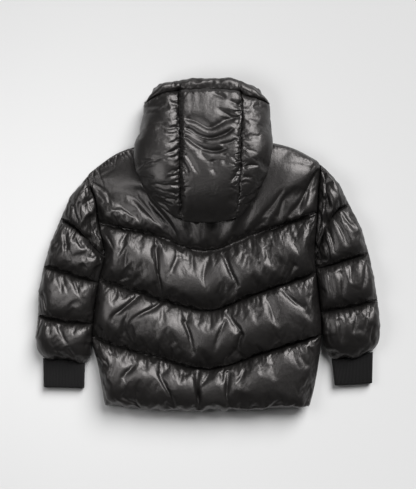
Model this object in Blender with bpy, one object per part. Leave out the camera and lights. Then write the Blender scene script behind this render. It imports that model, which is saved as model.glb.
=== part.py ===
"""Child's hooded puffer jacket, laid flat on its front with the hood folded back.

Sizes are in millimetres until a mesh is made. +X runs to the wearer's right, +Y towards the
hood's brim and +Z up from the surface that the jacket rests on.
"""

import math
from collections import namedtuple

import bmesh
import bpy
import numpy as np

MM = 0.001
SEAM_GAP = 0.4  # between pieces that are sewn together
REST_GAP = 1.0  # between a sleeve and the side it lies against

FRONT_PLANE = 22.0  # inner face of the fronts
BACK_PLANE = 22.4  # inner face of the back, which lies on the fronts
BACK_EDGE = 5.0  # wall of the back at its outer edges
BACK_SEAM = 7.0  # wall of the back at a quilting seam
BACK_LOFT = 29.0  # how far a baffle of the back stands above its seams
BACK_ROLL = 30.0  # width over which the back rounds down to its edge
FRONT_ROLL = 13.0  # width over which a front rounds up to its edge
FRONT_END_ROW = 0.008  # share of its length at which its top and hem start to round
UNDER_HOOD = 44.0  # height that the hood presses the back down to
HOOD_REACH = (-18.0, 6.0)  # where that pressing starts and ends, from the hood's edge inwards

SLEEVE_MIDDLE = 20.0
SLEEVE_SEAM = 8.0
SLEEVE_LOFT = 25.0
SLEEVE_ROLL = 34.0
SLEEVE_UNDER_ROLL = 17.0
SLEEVE_COLUMNS = 14  # between the rounded edges
SLIT = 0.8  # inside of a sleeve pressed flat
SLIT_MARGIN = 0.09  # share of the sleeve's width beside the slit

CUFF_MIDDLE = 9.0
CUFF_WALL = 7.5
CUFF_RIBS = 20
RIB_HEIGHT = 1.0

ZIP_X = -4.0
ZIP_WIDTH = 9.0
ZIP_TOP, ZIP_BOTTOM, ZIP_Z = 168.0, -314.0, (1.0, 7.0)

GATHER_PITCH = 26.0  # spacing of the gathers along a quilting seam
GATHER_DEPTH = 3.4
GATHER_REACH = 0.34  # share of a baffle that the gathers run into

BLACK_NYLON = (0.012, 0.012, 0.013, 1.0)
BLACK_RIB = (0.006, 0.006, 0.007, 1.0)

Point = namedtuple("Point", "x y")
Seam = namedtuple("Seam", "name left_y left_x left_mid_y point_x point_y right_x right_mid_y right_y")
Ring = namedtuple("Ring", "name outer_y mid_x mid_y inner_y")
Fold = namedtuple("Fold", "x0 y0 x1 y1 depth width")
Edge = namedtuple("Edge", "y x")
Section = namedtuple("Section", "y left right crown widest")

# Chevron quilting of the back: its height at each side, halfway and at its point.
BACK_SEAMS = (
    Seam("yoke", 45, -112, 20, -10, -12, 108, 26, 64),
    Seam("chest", -68, -118, -100, 4, -128, 104, -95, -56),
    Seam("waist", -184, -114, -221, 4, -247, 112, -216, -179),
)
TOP_EDGE = (
    Point(-246, 138), Point(-172, 188), Point(-90, 203), Point(-6, 186),
    Point(78, 207), Point(164, 196), Point(228, 164),
)
HEM_EDGE = (Point(-208, -321), Point(-102, -331), Point(-20, -332), Point(102, -329), Point(205, -323))
LEFT_SIDE = (
    Edge(138, -246), Edge(94, -227), Edge(42, -219), Edge(-18, -207), Edge(-72, -219),
    Edge(-160, -230), Edge(-196, -232), Edge(-234, -222), Edge(-321, -208),
)
RIGHT_SIDE = (
    Edge(164, 228), Edge(108, 221), Edge(56, 219), Edge(-18, 214), Edge(-97, 222),
    Edge(-180, 228), Edge(-234, 222), Edge(-282, 214), Edge(-323, 205),
)
BACK_FOLDS = (
    Fold(-107, 8, -96, -88, 9, 9), Fold(24, -10, 58, -90, 8, 9), Fold(-24, -247, -20, -332, 15, 8),
    Fold(-90, -112, -156, -152, 6, 9), Fold(-16, -150, -14, -226, 6, 10), Fold(38, -256, 38, -320, 9, 8),
    Fold(-72, -250, -74, -322, 6, 9), Fold(-112, 82, -54, 12, 6, 10), Fold(110, 40, 176, 52, 4, 9),
    Fold(-214, 36, -176, -18, 8, 9), Fold(-196, -80, -150, -60, 4, 9), Fold(228, 164, 206, 78, 6, 10),
    Fold(96, -236, 90, -318, 5, 9), Fold(150, -222, 156, -312, 6, 9), Fold(-150, -226, -146, -318, 5, 9),
    Fold(110, -96, 128, -160, 4, 10),
)

LEFT_OUTER = (
    Edge(138, -246), Edge(102, -274), Edge(54, -299), Edge(6, -317), Edge(-42, -333), Edge(-90, -341),
    Edge(-142, -345), Edge(-190, -347), Edge(-214, -344), Edge(-227, -334),
)
RIGHT_OUTER = (
    Edge(164, 228), Edge(126, 262), Edge(82, 287), Edge(30, 311), Edge(-16, 326), Edge(-66, 335),
    Edge(-111, 344), Edge(-162, 347), Edge(-198, 344), Edge(-214, 334),
)
LEFT_INNER_END = (Edge(-196, -233.2), Edge(-222, -235), Edge(-238, -246))
RIGHT_INNER_END = (Edge(-180, 229.2), Edge(-206, 233), Edge(-228, 247))
LEFT_RINGS = (
    Ring("upper arm", 54, -268, 37, -27), Ring("elbow", -42, -270, -60, -76),
    Ring("forearm", -142, -300, -152, -158), Ring("cuff seam", -227, -290, -232, -238),
)
RIGHT_RINGS = (
    Ring("upper arm", 82, 261, 70, -27), Ring("elbow", -16, 277, -30, -47),
    Ring("forearm", -111, 283, -124, -135), Ring("cuff seam", -214, 290, -228, -228),
)
LEFT_FOLDS = (
    Fold(-226, 30, -268, -30, 7, 9), Fold(-322, -40, -296, -120, 4, 10), Fold(-262, -84, -250, -146, 4, 9),
    Fold(-320, -160, -300, -214, 5, 9), Fold(-262, -170, -272, -224, 5, 9),
)
RIGHT_FOLDS = (
    Fold(228, 150, 250, 20, 6, 9), Fold(232, 60, 282, -10, 6, 9), Fold(318, -40, 300, -104, 4, 10),
    Fold(262, -60, 270, -118, 4, 9), Fold(316, -134, 300, -206, 5, 9), Fold(258, -150, 272, -214, 5, 9),
)
CUFF_LEFT = (Point(-331, -285), Point(-249, -287))
CUFF_RIGHT = (Point(331, -277), Point(255, -282))

# The hood from its low end over the back to its mouth: outline, crown and the height where it is widest.
HOOD_SECTIONS = (
    Section(52, -61, 56, 80, 68), Section(60, -74, 66, 88, 69), Section(73, -91, 77, 95, 69),
    Section(92, -110, 91, 101, 69), Section(114, -126, 104, 105, 69), Section(142, -140, 117, 106, 69),
    Section(172, -146, 124, 104, 68), Section(190, -146, 128, 102, 66), Section(200, -146, 129, 100, 62),
    Section(210, -144, 129, 98, 54), Section(222, -140, 128, 94, 45), Section(240, -135, 127, 88, 39),
    Section(262, -130, 125, 79, 34), Section(274, -129, 124, 73, 31), Section(280, -129, 124, 69, 30),
)
HOOD_LOW_EDGE = (Point(-61, 52), Point(-44, 45), Point(-4, 44), Point(36, 47), Point(56, 54))
HOOD_LEFT_SEAM = (
    Edge(46, -52), Edge(101, -53), Edge(155, -55), Edge(210, -54), Edge(262, -57), Edge(310, -57),
)
HOOD_RIGHT_SEAM = (Edge(46, 53), Edge(90, 59), Edge(160, 64), Edge(209, 64), Edge(262, 67), Edge(310, 64))
HOOD_STITCH = (  # where the brim is sewn on
    Point(-129, 280), Point(-102, 296), Point(-80, 304), Point(-26, 307), Point(50, 305), Point(83, 295),
    Point(114, 285), Point(124, 280),
)
HOOD_BRIM_EDGE = (
    Point(-124, 293), Point(-116, 306), Point(-92, 322), Point(-28, 332), Point(48, 332), Point(88, 318),
    Point(112, 302), Point(120, 291),
)
HOOD_FOLDS = (
    Fold(-50, 228, 6, 212, 6, 7), Fold(6, 212, 48, 230, 6, 7), Fold(-50, 214, 8, 180, 5, 7),
    Fold(8, 180, 40, 192, 5, 7), Fold(18, 294, 52, 250, 4, 7), Fold(-120, 210, -84, 168, 4, 9),
    Fold(100, 250, 84, 190, 4, 9), Fold(-96, 270, -92, 214, 4, 9), Fold(-30, 100, -10, 60, 4, 9),
    Fold(22, 120, 30, 70, 4, 9),
)
HOOD_WALL = 21.0
HOOD_FLOOR = 15.0  # its lower layer, which lies on the back or the floor
HOOD_NECK = 184.0  # where the lower layer of the centre panel is sewn to the back
HOOD_DOME = 58.0  # width over which it rounds up from its edge
HOOD_UNDER_ROLL = 24.0
HOOD_SEAM = (7.0, 9.0)  # depth and half width of the valley at a seam
HOOD_FIRST_ROW = 1.8  # first row of the centre panel, above its low end
HOOD_ROUND = 48.0  # length over which its hollow rounds off towards the low end
NECK_DROP = (-2.0, 14.0)  # where the hood steps down from the back to the floor, from the back's neck edge
MOUTH_BEGINS = 210.0
MOUTH_Y = 280.0
FACE_OPENING = 0.45  # share of a side's lower layer that is cut away at the mouth
BRIM_BANDS = ((0.0, 0.84), (0.2, 0.98), (0.6, 0.95), (0.86, 0.76), (1.0, 0.42))  # way across, thickness kept
BRIM_NARROWING = 0.95
BRIM_DROOP = 6.0
BRIM_BELOW = 14.0  # width of the band on the lower layer


def smooth_line(points, steps=10):
    """The point at each share of the length of a smooth line through points."""
    knots = np.array([tuple(point)[:2] for point in points], float)
    reach = np.concatenate([[0.0], np.cumsum(np.linalg.norm(np.diff(knots, axis=0), axis=1))])
    slopes = np.gradient(knots, reach, axis=0)
    fine = []
    for i in range(len(knots) - 1):
        span = reach[i + 1] - reach[i]
        for t in np.linspace(0, 1, steps, endpoint=False):
            fine.append(
                (2 * t**3 - 3 * t**2 + 1) * knots[i] + (t**3 - 2 * t**2 + t) * span * slopes[i]
                + (3 * t**2 - 2 * t**3) * knots[i + 1] + (t**3 - t**2) * span * slopes[i + 1]
            )
    fine = np.array(fine + [knots[-1]])
    length = np.concatenate([[0.0], np.cumsum(np.linalg.norm(np.diff(fine, axis=0), axis=1))])
    shares = length / length[-1]
    return lambda share: np.array([np.interp(share, shares, axis) for axis in fine.T])


def side_line(edges):
    """x of an edge at a height y, on a smooth line down the edge."""
    line = smooth_line([Point(edge.x, edge.y) for edge in edges])
    walked = np.array([line(share) for share in np.linspace(0, 1, 200)])
    order = np.argsort(walked[:, 1])
    return lambda y: float(np.interp(y, walked[order, 1], walked[order, 0]))


def ease(value):
    """0 below 0, 1 above 1 and a smooth step between."""
    value = min(max(value, 0.0), 1.0)
    return value * value * (3 - 2 * value)


def roll(distance, width):
    """Height of a rounded edge, from 0 at the edge to 1 where it has reached its width."""
    share = min(max(distance / width, 0.0), 1.0)
    return math.sqrt(1 - (1 - share) ** 2)


def bulge(share):
    """Cross section of a filled baffle between two seams."""
    return math.sin(math.pi * min(max(share, 0.0), 1.0)) ** 0.6


def segment_distance(x, y, x0, y0, x1, y1):
    """Distance of a point from a straight stretch."""
    dx, dy = x1 - x0, y1 - y0
    along = min(max(((x - x0) * dx + (y - y0) * dy) / (dx * dx + dy * dy), 0.0), 1.0)
    return math.hypot(x - x0 - along * dx, y - y0 - along * dy)


def depth_inside(outline, x, y):
    """How far a point lies inside a closed outline; less than 0 outside."""
    nearest = math.inf
    inside = False
    for start, end in zip(outline, outline[1:] + outline[:1]):
        nearest = min(nearest, segment_distance(x, y, *start, *end))
        if (start.y > y) != (end.y > y):
            inside ^= x < start.x + (y - start.y) * (end.x - start.x) / (end.y - start.y)
    return nearest if inside else -nearest


def hood_outline():
    """The hood's outline from above, carried on past its mouth."""
    left = [Point(section.left, section.y) for section in HOOD_SECTIONS]
    right = [Point(section.right, section.y) for section in reversed(HOOD_SECTIONS)]
    far = HOOD_SECTIONS[-1].y + 120
    return left + [Point(left[-1].x, far), Point(right[0].x, far)] + right + list(HOOD_LOW_EDGE[::-1])[1:-1]


def fold_depth(folds, x, y):
    """How deep the creases press the cloth in at a point."""
    return sum(
        fold.depth * math.exp(-((segment_distance(x, y, *fold[:4]) / fold.width) ** 2)) for fold in folds
    )


def patch(top, bottom, left, right, across, down):
    """A point of the surface spanned by four edges that meet at their corners."""
    straight = (1 - down) * top(across) + down * bottom(across)
    sideways = (1 - across) * left(down) + across * right(down)
    corners = (1 - down) * ((1 - across) * top(0) + across * top(1))
    corners = corners + down * ((1 - across) * bottom(0) + across * bottom(1))
    return straight + sideways - corners


def edge_stretch(line, start_y, end_y):
    """The stretch of a side between two heights, as a function of the share walked."""
    def point(share):
        y = start_y + (end_y - start_y) * share
        return np.array([line(y), y])
    return point


ROW_SHARES = (0.0, 0.06, 0.16, 0.3, 0.46, 0.62, 0.77, 0.89, 0.96)


def bay_grid(lines, left_stretches, right_stretches, across_shares):
    """Rows of (x, y, bay, share down the bay, length of the bay there), from the first line to the last."""
    rows = []
    for bay, (top, bottom) in enumerate(zip(lines, lines[1:])):
        shares = ROW_SHARES + ((1.0,) if bay == len(lines) - 2 else ())
        for down in shares:
            row = []
            for across in across_shares:
                args = (top, bottom, left_stretches[bay], right_stretches[bay], across)
                x, y = patch(*args, down)
                length = float(np.linalg.norm(patch(*args, 1.0) - patch(*args, 0.0)))
                row.append((float(x), float(y), bay, down, length))
            rows.append(row)
    return rows


def gathers(along, share, length):
    """Small pleats that run into a baffle from its seams."""
    near = min(share, 1 - share)
    fade = ease(1 - near / GATHER_REACH) * ease(near / 0.05)
    wave = 0.5 + 0.5 * math.sin(2 * math.pi * along / GATHER_PITCH + 1.3 * math.sin(along / 41.0))
    return GATHER_DEPTH * fade * wave * min(1.0, length / 60.0)


def seam_line(seam, left_x, right_x):
    """A chevron quilting seam from the left side to the right."""
    return smooth_line((
        Point(left_x, seam.left_y), Point(seam.left_x, seam.left_mid_y), Point(seam.point_x, seam.point_y),
        Point(seam.right_x, seam.right_mid_y), Point(right_x, seam.right_y),
    ))


def new_object(name, bm, collection, material):
    """A mesh object in metres from a bmesh in millimetres."""
    bmesh.ops.recalc_face_normals(bm, faces=bm.faces)
    mesh = bpy.data.meshes.new(name)
    for vert in bm.verts:
        vert.co *= MM
    bm.to_mesh(mesh)
    bm.free()
    mesh.materials.append(material)
    mesh.shade_smooth()
    mesh.set_sharp_from_angle(angle=math.radians(50))
    piece = bpy.data.objects.new(name, mesh)
    collection.objects.link(piece)
    return piece


def grid_faces(bm, rows, closed_across=False):
    """Quads over rows of vertices."""
    for above, below in zip(rows, rows[1:]):
        count = len(above)
        for i in range(count if closed_across else count - 1):
            j = (i + 1) % count
            bm.faces.new((above[i], above[j], below[j], below[i]))


def panel(name, grid, plane, collection, material):
    """A padded panel: a shaped outer face over a flat inner face at the height of plane."""
    bm = bmesh.new()
    rows = [[bm.verts.new(point) for point in row] for row in grid]
    grid_faces(bm, rows)
    rim = rows[0] + [row[-1] for row in rows[1:]] + rows[-1][-2::-1] + [row[0] for row in rows[-2:0:-1]]
    inner = [bm.verts.new((vert.co.x, vert.co.y, plane)) for vert in rim]
    grid_faces(bm, [rim, inner], closed_across=True)
    bm.faces.new(inner)
    return new_object(name, bm, collection, material)


def tube(name, loops, slits, collection, material):
    """A flattened tube: outer loops with a slit of as many points right through them."""
    bm = bmesh.new()
    outer = [[bm.verts.new(point) for point in loop] for loop in loops]
    inner = [[bm.verts.new(point) for point in loop] for loop in slits]
    grid_faces(bm, outer, closed_across=True)
    grid_faces(bm, inner, closed_across=True)
    grid_faces(bm, [outer[0], inner[0]], closed_across=True)
    grid_faces(bm, [outer[-1], inner[-1]], closed_across=True)
    return new_object(name, bm, collection, material)


def fabric(name, colour, roughness):
    """A plain Principled material."""
    material = bpy.data.materials.new(name)
    material.use_nodes = True
    shader = material.node_tree.nodes["Principled BSDF"]
    shader.inputs["Base Color"].default_value = colour
    shader.inputs["Roughness"].default_value = roughness
    shader.inputs["Metallic"].default_value = 0.0
    material.diffuse_color = colour
    return material


def thick_sheet(name, outer, inner, collection, material):
    """A wall between two faces given as rows of as many points."""
    bm = bmesh.new()
    faces = [[[bm.verts.new(point) for point in row] for row in grid] for grid in (outer, inner)]
    for rows in faces:
        grid_faces(bm, rows)
    rims = [
        rows[0] + [row[-1] for row in rows[1:]] + rows[-1][-2::-1] + [row[0] for row in rows[-2:0:-1]]
        for rows in faces
    ]
    grid_faces(bm, rims, closed_across=True)
    return new_object(name, bm, collection, material)


class Body:
    """Back and fronts, which share one outline."""

    def __init__(self):
        self.left = side_line(LEFT_SIDE)
        self.right = side_line(RIGHT_SIDE)
        self.lines = [smooth_line(TOP_EDGE)]
        for seam in BACK_SEAMS:
            self.lines.append(seam_line(seam, self.left(seam.left_y), self.right(seam.right_y)))
        self.lines += [smooth_line(HEM_EDGE)]
        left_ys = [LEFT_SIDE[0].y] + [seam.left_y for seam in BACK_SEAMS] + [LEFT_SIDE[-1].y]
        right_ys = [RIGHT_SIDE[0].y] + [seam.right_y for seam in BACK_SEAMS] + [RIGHT_SIDE[-1].y]
        self.hood_outline = hood_outline()
        self.left_stretches = [edge_stretch(self.left, *pair) for pair in zip(left_ys, left_ys[1:])]
        self.right_stretches = [edge_stretch(self.right, *pair) for pair in zip(right_ys, right_ys[1:])]

    def height(self, x, y, bay, share, length, across):
        """Height of the outer face of the back."""
        first, last = bay == 0, bay == len(self.lines) - 2
        seam = BACK_SEAM
        if first and share < 0.5:
            seam = BACK_EDGE
        if last and share > 0.5:
            seam = BACK_EDGE
        loft = BACK_LOFT * bulge(share) * min(1.0, length / 70.0)
        wall = seam + loft - gathers(x, share, length) - fold_depth(BACK_FOLDS, x, y) * bulge(share)
        width = self.right(y) - self.left(y)
        edge = roll(min(across, 1 - across) * width, BACK_ROLL)
        top = BACK_PLANE + BACK_EDGE + (max(wall, seam * 0.8) - BACK_EDGE) * edge
        start, end = HOOD_REACH
        pressed = ease((depth_inside(self.hood_outline, x, y) - start) / (end - start))
        return top + (min(top, UNDER_HOOD) - top) * pressed

    def make_back(self, collection, material):
        """The quilted back."""
        inner = np.linspace(0.07, 0.93, 55)
        across = [0.0, 0.006, 0.018, 0.04, *inner, 0.96, 0.982, 0.994, 1.0]
        rows = bay_grid(self.lines, self.left_stretches, self.right_stretches, across)
        grid = [[(*spot[:2], self.height(*spot, at)) for at, spot in zip(across, row)] for row in rows]
        return panel("back", grid, BACK_PLANE, collection, material)

    def make_front(self, name, is_left, collection, material):
        """One front, flat where it rests, from its side to the zip."""
        near = self.left if is_left else self.right
        zip_x = ZIP_X + (-1 if is_left else 1) * (ZIP_WIDTH / 2 + SEAM_GAP)
        top, hem = self.lines[0], self.lines[-1]
        end_share = 0.0 if is_left else 1.0
        ys = [row[0][1] if is_left else row[-1][1]
              for row in bay_grid(self.lines, self.left_stretches, self.right_stretches, (0.0, 1.0))]
        downs = sorted({(ys[0] - y) / (ys[0] - ys[-1]) for y in ys} | {FRONT_END_ROW, 1 - FRONT_END_ROW})
        split_top = self.share_at(top, zip_x)
        split_hem = self.share_at(hem, zip_x)
        columns = (0.0, 0.012, 0.03, 0.062, 0.3, 0.65, 1.0)
        side = edge_stretch(near, ys[0], ys[-1])
        zip_top, zip_hem = top(split_top), hem(split_hem)

        def along_top(share):
            return top(end_share + (split_top - end_share) * share)

        def along_hem(share):
            return hem(end_share + (split_hem - end_share) * share)

        def along_zip(share):
            return zip_top + (zip_hem - zip_top) * share

        grid = []
        for down in downs:
            row = []
            for across in columns:
                x, y = patch(along_top, along_hem, side, along_zip, across, down)
                from_side = abs(x - near(y))
                from_ends = min(down, 1 - down) * (ys[0] - ys[-1])
                lift = roll(min(from_side, from_ends), FRONT_ROLL)
                row.append((float(x), float(y), (FRONT_PLANE - BACK_EDGE) * (1 - lift)))
            grid.append(row)
        return panel(name, grid, FRONT_PLANE, collection, material)

    @staticmethod
    def share_at(line, x):
        """Share of an edge's length where it crosses x."""
        shares = np.linspace(0, 1, 400)
        return float(np.interp(x, [line(share)[0] for share in shares], shares))

    def armhole(self, is_left):
        """The side's own points down the armhole and the side, moved out by the seam gap."""
        rows = bay_grid(self.lines, self.left_stretches, self.right_stretches, (0.0, 1.0))
        side = -1 if is_left else 1
        ends = [row[0] if is_left else row[-1] for row in rows]
        points = np.array([(x + side * SEAM_GAP, y) for x, y, *_ in ends])
        return lambda y: float(np.interp(y, points[::-1, 1], points[::-1, 0]))


class Sleeve:
    """A quilted sleeve pressed flat, from the armhole to its cuff."""

    UNDERARM_Y = -18.0

    def __init__(self, name, is_left, body):
        self.name = name
        self.side = -1 if is_left else 1
        self.rings = LEFT_RINGS if is_left else RIGHT_RINGS
        self.folds = LEFT_FOLDS if is_left else RIGHT_FOLDS
        outer_table = LEFT_OUTER if is_left else RIGHT_OUTER
        end_table = LEFT_INNER_END if is_left else RIGHT_INNER_END
        seam = body.armhole(is_left)
        rest = REST_GAP - SEAM_GAP
        self.top_y = outer_table[0].y
        self.outer = side_line((Edge(self.top_y, seam(self.top_y)),) + outer_table[1:])

        end_ys = [edge.y for edge in end_table[::-1]]
        end_xs = [edge.x for edge in end_table[::-1]]

        def inner(y):
            if y < end_table[0].y:
                return float(np.interp(y, end_ys, end_xs))
            return seam(y) + self.side * rest * ease((self.UNDERARM_Y - y) / 12)

        self.inner = inner
        self.lines = [lambda share: np.array([seam(self.down(share)), self.down(share)])]
        for ring in self.rings:
            outer_end = Point(self.outer(ring.outer_y), ring.outer_y)
            inner_end = Point(inner(ring.inner_y), ring.inner_y)
            self.lines.append(smooth_line((outer_end, Point(ring.mid_x, ring.mid_y), inner_end)))
        outer_ys = [self.top_y] + [ring.outer_y for ring in self.rings]
        inner_ys = [self.UNDERARM_Y] + [ring.inner_y for ring in self.rings]
        self.outer_stretches = [edge_stretch(self.outer, *pair) for pair in zip(outer_ys, outer_ys[1:])]
        self.inner_stretches = [edge_stretch(inner, *pair) for pair in zip(inner_ys, inner_ys[1:])]

    def down(self, share):
        """Height on the armhole seam at a share of it."""
        return self.top_y + (self.UNDERARM_Y - self.top_y) * share

    def make(self, collection, material):
        """The sleeve as a flattened tube."""
        across = [0.0, 0.015, 0.045, 0.09, *np.linspace(0.14, 0.86, SLEEVE_COLUMNS), 0.91, 0.955, 0.985, 1.0]
        under = [across[i] for i in range(len(across) - 2, 0, -2)]
        loops = []
        slits = []
        rows = bay_grid(self.lines, self.outer_stretches, self.inner_stretches, across)
        low_rows = bay_grid(self.lines, self.outer_stretches, self.inner_stretches, under)
        slit_rows = [0, len(ROW_SHARES), 2 * len(ROW_SHARES), 3 * len(ROW_SHARES), len(rows) - 1]
        for index, (row, low_row) in enumerate(zip(rows, low_rows)):
            width = float(np.linalg.norm(np.subtract(row[-1][:2], row[0][:2])))
            narrow = ease((index - len(rows) + 8) / 8)
            middle = SLEEVE_MIDDLE + (CUFF_MIDDLE - SLEEVE_MIDDLE) * narrow
            top = [(x, y, middle + self.rise(x, y, bay, share, length, across[i], width))
                   for i, (x, y, bay, share, length) in enumerate(row)]
            low = [(x, y, middle * (1 - roll(min(under[i], 1 - under[i]) * width, SLEEVE_UNDER_ROLL)))
                   for i, (x, y, *_) in enumerate(low_row)]
            loops.append(top + low)
            if index in slit_rows:
                slits.append(self.slit(row, across, under, middle))
        return tube(self.name, loops, slits, collection, material)

    def rise(self, x, y, bay, share, length, across, width):
        """Height of the top layer over the middle of the tube."""
        last = bay == len(self.lines) - 2
        seam = SLEEVE_SEAM if not (last and share > 0.5) else CUFF_WALL
        loft = SLEEVE_LOFT * bulge(share) * min(1.0, length / 60.0)
        wall = seam + loft - gathers(across * width + 11 * bay, share, length)
        wall -= fold_depth(self.folds, x, y) * bulge(share)
        return max(wall, seam * 0.8) * roll(min(across, 1 - across) * width, SLEEVE_ROLL)

    @staticmethod
    def slit(row, across, under, middle):
        """The slit's loop at a row, with a point for each point of the outer loop."""
        xs, ys = [point[0] for point in row], [point[1] for point in row]
        loop = []
        for shares, height in ((across, middle + SLIT / 2), (under, middle - SLIT / 2)):
            for share in shares:
                inside = SLIT_MARGIN + (1 - 2 * SLIT_MARGIN) * share
                x, y = np.interp(inside, across, xs), np.interp(inside, across, ys)
                loop.append((float(x), float(y), height))
        return loop


def make_cuff(name, seam, ends, collection, material):
    """A rib-knit cuff pressed flat, from the sleeve's seam to its own outer and inner ends."""
    outer_end, inner_end = (np.array(end, float) for end in ends)
    across = [0.0, 0.012, *np.linspace(0.035, 0.965, 2 * CUFF_RIBS + 1), 0.988, 1.0]
    under = [0.985, 0.95, 0.88, 0.6, 0.4, 0.12, 0.05, 0.015]
    rib_start, rib_end = 0.04, 0.96
    flat_start, flat_end = 0.06, 0.94
    side_roll = 0.07
    loops = []
    slits = []

    def spot(share, down):
        start = seam(0.02 + 0.96 * share) - np.array([0, 1.2 * SEAM_GAP])
        return start + (outer_end + (inner_end - outer_end) * share - start) * down

    for down in (0.0, 0.04, 0.2, 0.8, 0.96, 1.0):
        waist = 0.85 + 0.15 * ease(min(down, 1 - down) / 0.1)
        loop = []
        for i, share in enumerate(across):
            rib = RIB_HEIGHT * (i % 2) * (rib_start < share < rib_end)
            rise = (CUFF_WALL * waist + rib) * roll(min(share, 1 - share), side_roll)
            loop.append((*spot(share, down), CUFF_MIDDLE + rise))
        for share in under:
            drop = waist * roll(min(share, 1 - share), side_roll)
            loop.append((*spot(share, down), CUFF_MIDDLE * (1 - drop)))
        loops.append(loop)
        if down in (0.0, 1.0):
            flat = [(*spot(flat_start + (flat_end - flat_start) * share, down), CUFF_MIDDLE + SLIT / 2)
                    for share in across]
            flat += [(*spot(flat_start + (flat_end - flat_start) * share, down), CUFF_MIDDLE - SLIT / 2)
                     for share in under]
            slits.append(flat)
    return tube(name, loops, slits, collection, material)


class Hood:
    """A three-panel hood, folded back over the back with its mouth towards +Y."""

    def __init__(self, body):
        self.body = body
        self.outline = hood_outline()
        self.ys = [section.y for section in HOOD_SECTIONS]
        self.seams = side_line(HOOD_LEFT_SEAM), side_line(HOOD_RIGHT_SEAM)
        stitch = smooth_line(HOOD_STITCH)
        self.stitched = np.array([stitch(share) for share in np.linspace(0, 1, 120)])
        neck = smooth_line(TOP_EDGE)
        self.neck = np.array([neck(share) for share in np.linspace(0, 1, 120)])

    def at(self, y, column):
        """A column of the sections' table at a height y."""
        return float(np.interp(y, self.ys, [getattr(section, column) for section in HOOD_SECTIONS]))

    def stitch_y(self, x):
        """Height of the brim's stitching at x."""
        return float(np.interp(x, self.stitched[:, 0], self.stitched[:, 1]))

    def row_y(self, level, x):
        """Height of a row at x: level rows that bend into the brim's stitching towards the mouth."""
        bend = max(level - MOUTH_BEGINS, 0.0) / (MOUTH_Y - MOUTH_BEGINS)
        return level + (self.stitch_y(x) - MOUTH_Y) * bend

    def rest(self, x, y):
        """What the hood lies on: the back, then the floor past the back's neck edge."""
        start, end = NECK_DROP
        past = y - float(np.interp(x, self.neck[:, 0], self.neck[:, 1]))
        on_back = UNDER_HOOD + 2 * SEAM_GAP
        return on_back * (1 - min(max((past - start) / (end - start), 0.0), 1.0))

    def top(self, x, y):
        """Height of its upper face."""
        depth = depth_inside(self.outline, x, y)
        widest, crown = self.at(y, "widest"), self.at(y, "crown")
        rise = roll(depth, HOOD_DOME)
        valley, width = HOOD_SEAM
        for seam in self.seams:
            crown -= valley * math.exp(-(((x - seam(y)) / width) ** 2))
        crown -= 0.7 * valley * math.exp(-(((y - self.stitch_y(x)) / width) ** 2))
        crown -= fold_depth(HOOD_FOLDS, x, y)
        return widest + max(crown - widest, 4.0) * rise

    def bottom(self, x, y):
        """Height of its lower face."""
        rest = self.rest(x, y)
        curl = 1 - roll(depth_inside(self.outline, x, y), HOOD_UNDER_ROLL)
        return rest + (self.at(y, "widest") - rest) * curl

    def hollow(self, x, y):
        """Ceiling and floor of the hollow at a point."""
        top, bottom = self.top(x, y), self.bottom(x, y)
        room = 0.45 * (top - bottom)
        return top - min(HOOD_WALL, room), bottom + min(HOOD_FLOOR, room)

    def side_row(self, level, is_left):
        """Outer and inner points of a side panel's row, from the seam round to the lower layer's end."""
        over = (0.0, 0.08, 0.2, 0.36, 0.54, 0.7, 0.83, 0.93, 0.98)
        below = (1.0, 0.97, 0.9, 0.75, 0.5, 0.25, 0.0)
        seam = self.seams[0 if is_left else 1]
        side = -1 if is_left else 1
        edge = self.at(level, "left" if is_left else "right")
        cut = FACE_OPENING * ease((level - HOOD_NECK) / 60)
        x_seam = seam(self.row_y(level, seam(level))) + side * SEAM_GAP / 2
        wall = min(HOOD_WALL, 0.45 * abs(edge - x_seam))
        outer, inner = [], []
        for shares, is_top in ((over, True), (below, False)):
            start = x_seam if is_top else x_seam + (edge - x_seam) * cut
            for share in shares:
                x = start + (edge - start) * share
                x_in = start + (edge - side * wall - start) * share
                y, y_in = self.row_y(level, x), self.row_y(level, x_in)
                ceiling, floor = self.hollow(x_in, y_in)
                middle = (ceiling + floor) / 2
                away = (ceiling if is_top else floor) - middle
                outer.append((x, y, self.top(x, y) if is_top else self.bottom(x, y)))
                inner.append((x_in, y_in, middle + away * (1 - share**4)))
        return outer, inner

    def make_side(self, name, is_left, collection, material):
        """A side panel: over the top from its seam, round the edge and back below."""
        outer, inner = zip(*(self.side_row(level, is_left) for level in self.ys))
        return thick_sheet(name, outer, inner, collection, material)

    def centre_column(self, share):
        """A column of the centre panel, as its outer and inner points from the mouth round to the neck."""
        low_edge = np.array(HOOD_LOW_EDGE, float)
        left, right = (seam(HOOD_SECTIONS[0].y) for seam in self.seams)
        y_low = float(np.interp(left + (right - left) * share, low_edge[:, 0], low_edge[:, 1]))
        y_first = y_low + HOOD_FIRST_ROW
        path = [(level, True) for level in reversed(self.ys)] + [(y_first, True), (y_low, None)]
        path += [(y_first, False)] + [(level, False) for level in self.ys if level < HOOD_NECK]
        path += [(HOOD_NECK, False)]
        outer, inner = [], []
        for level, is_top in path:
            x, y = self.centre_point(share, level)
            depth = level - y_low
            level_in = level
            if depth < HOOD_ROUND:
                level_in = y_low + HOOD_WALL + depth * (1 - HOOD_WALL / HOOD_ROUND)
            x_in, y_in = self.centre_point(share, level_in)
            ceiling, floor = self.hollow(x_in, y_in)
            middle = (ceiling + floor) / 2
            if is_top is None:
                outer.append((x, y, self.at(y, "widest")))
                inner.append((x_in, y_in, middle))
                continue
            part = roll(depth, HOOD_ROUND / 2)
            outer.append((x, y, self.top(x, y) if is_top else self.bottom(x, y)))
            inner.append((x_in, y_in, middle + ((ceiling if is_top else floor) - middle) * part))
        return outer, inner

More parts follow.
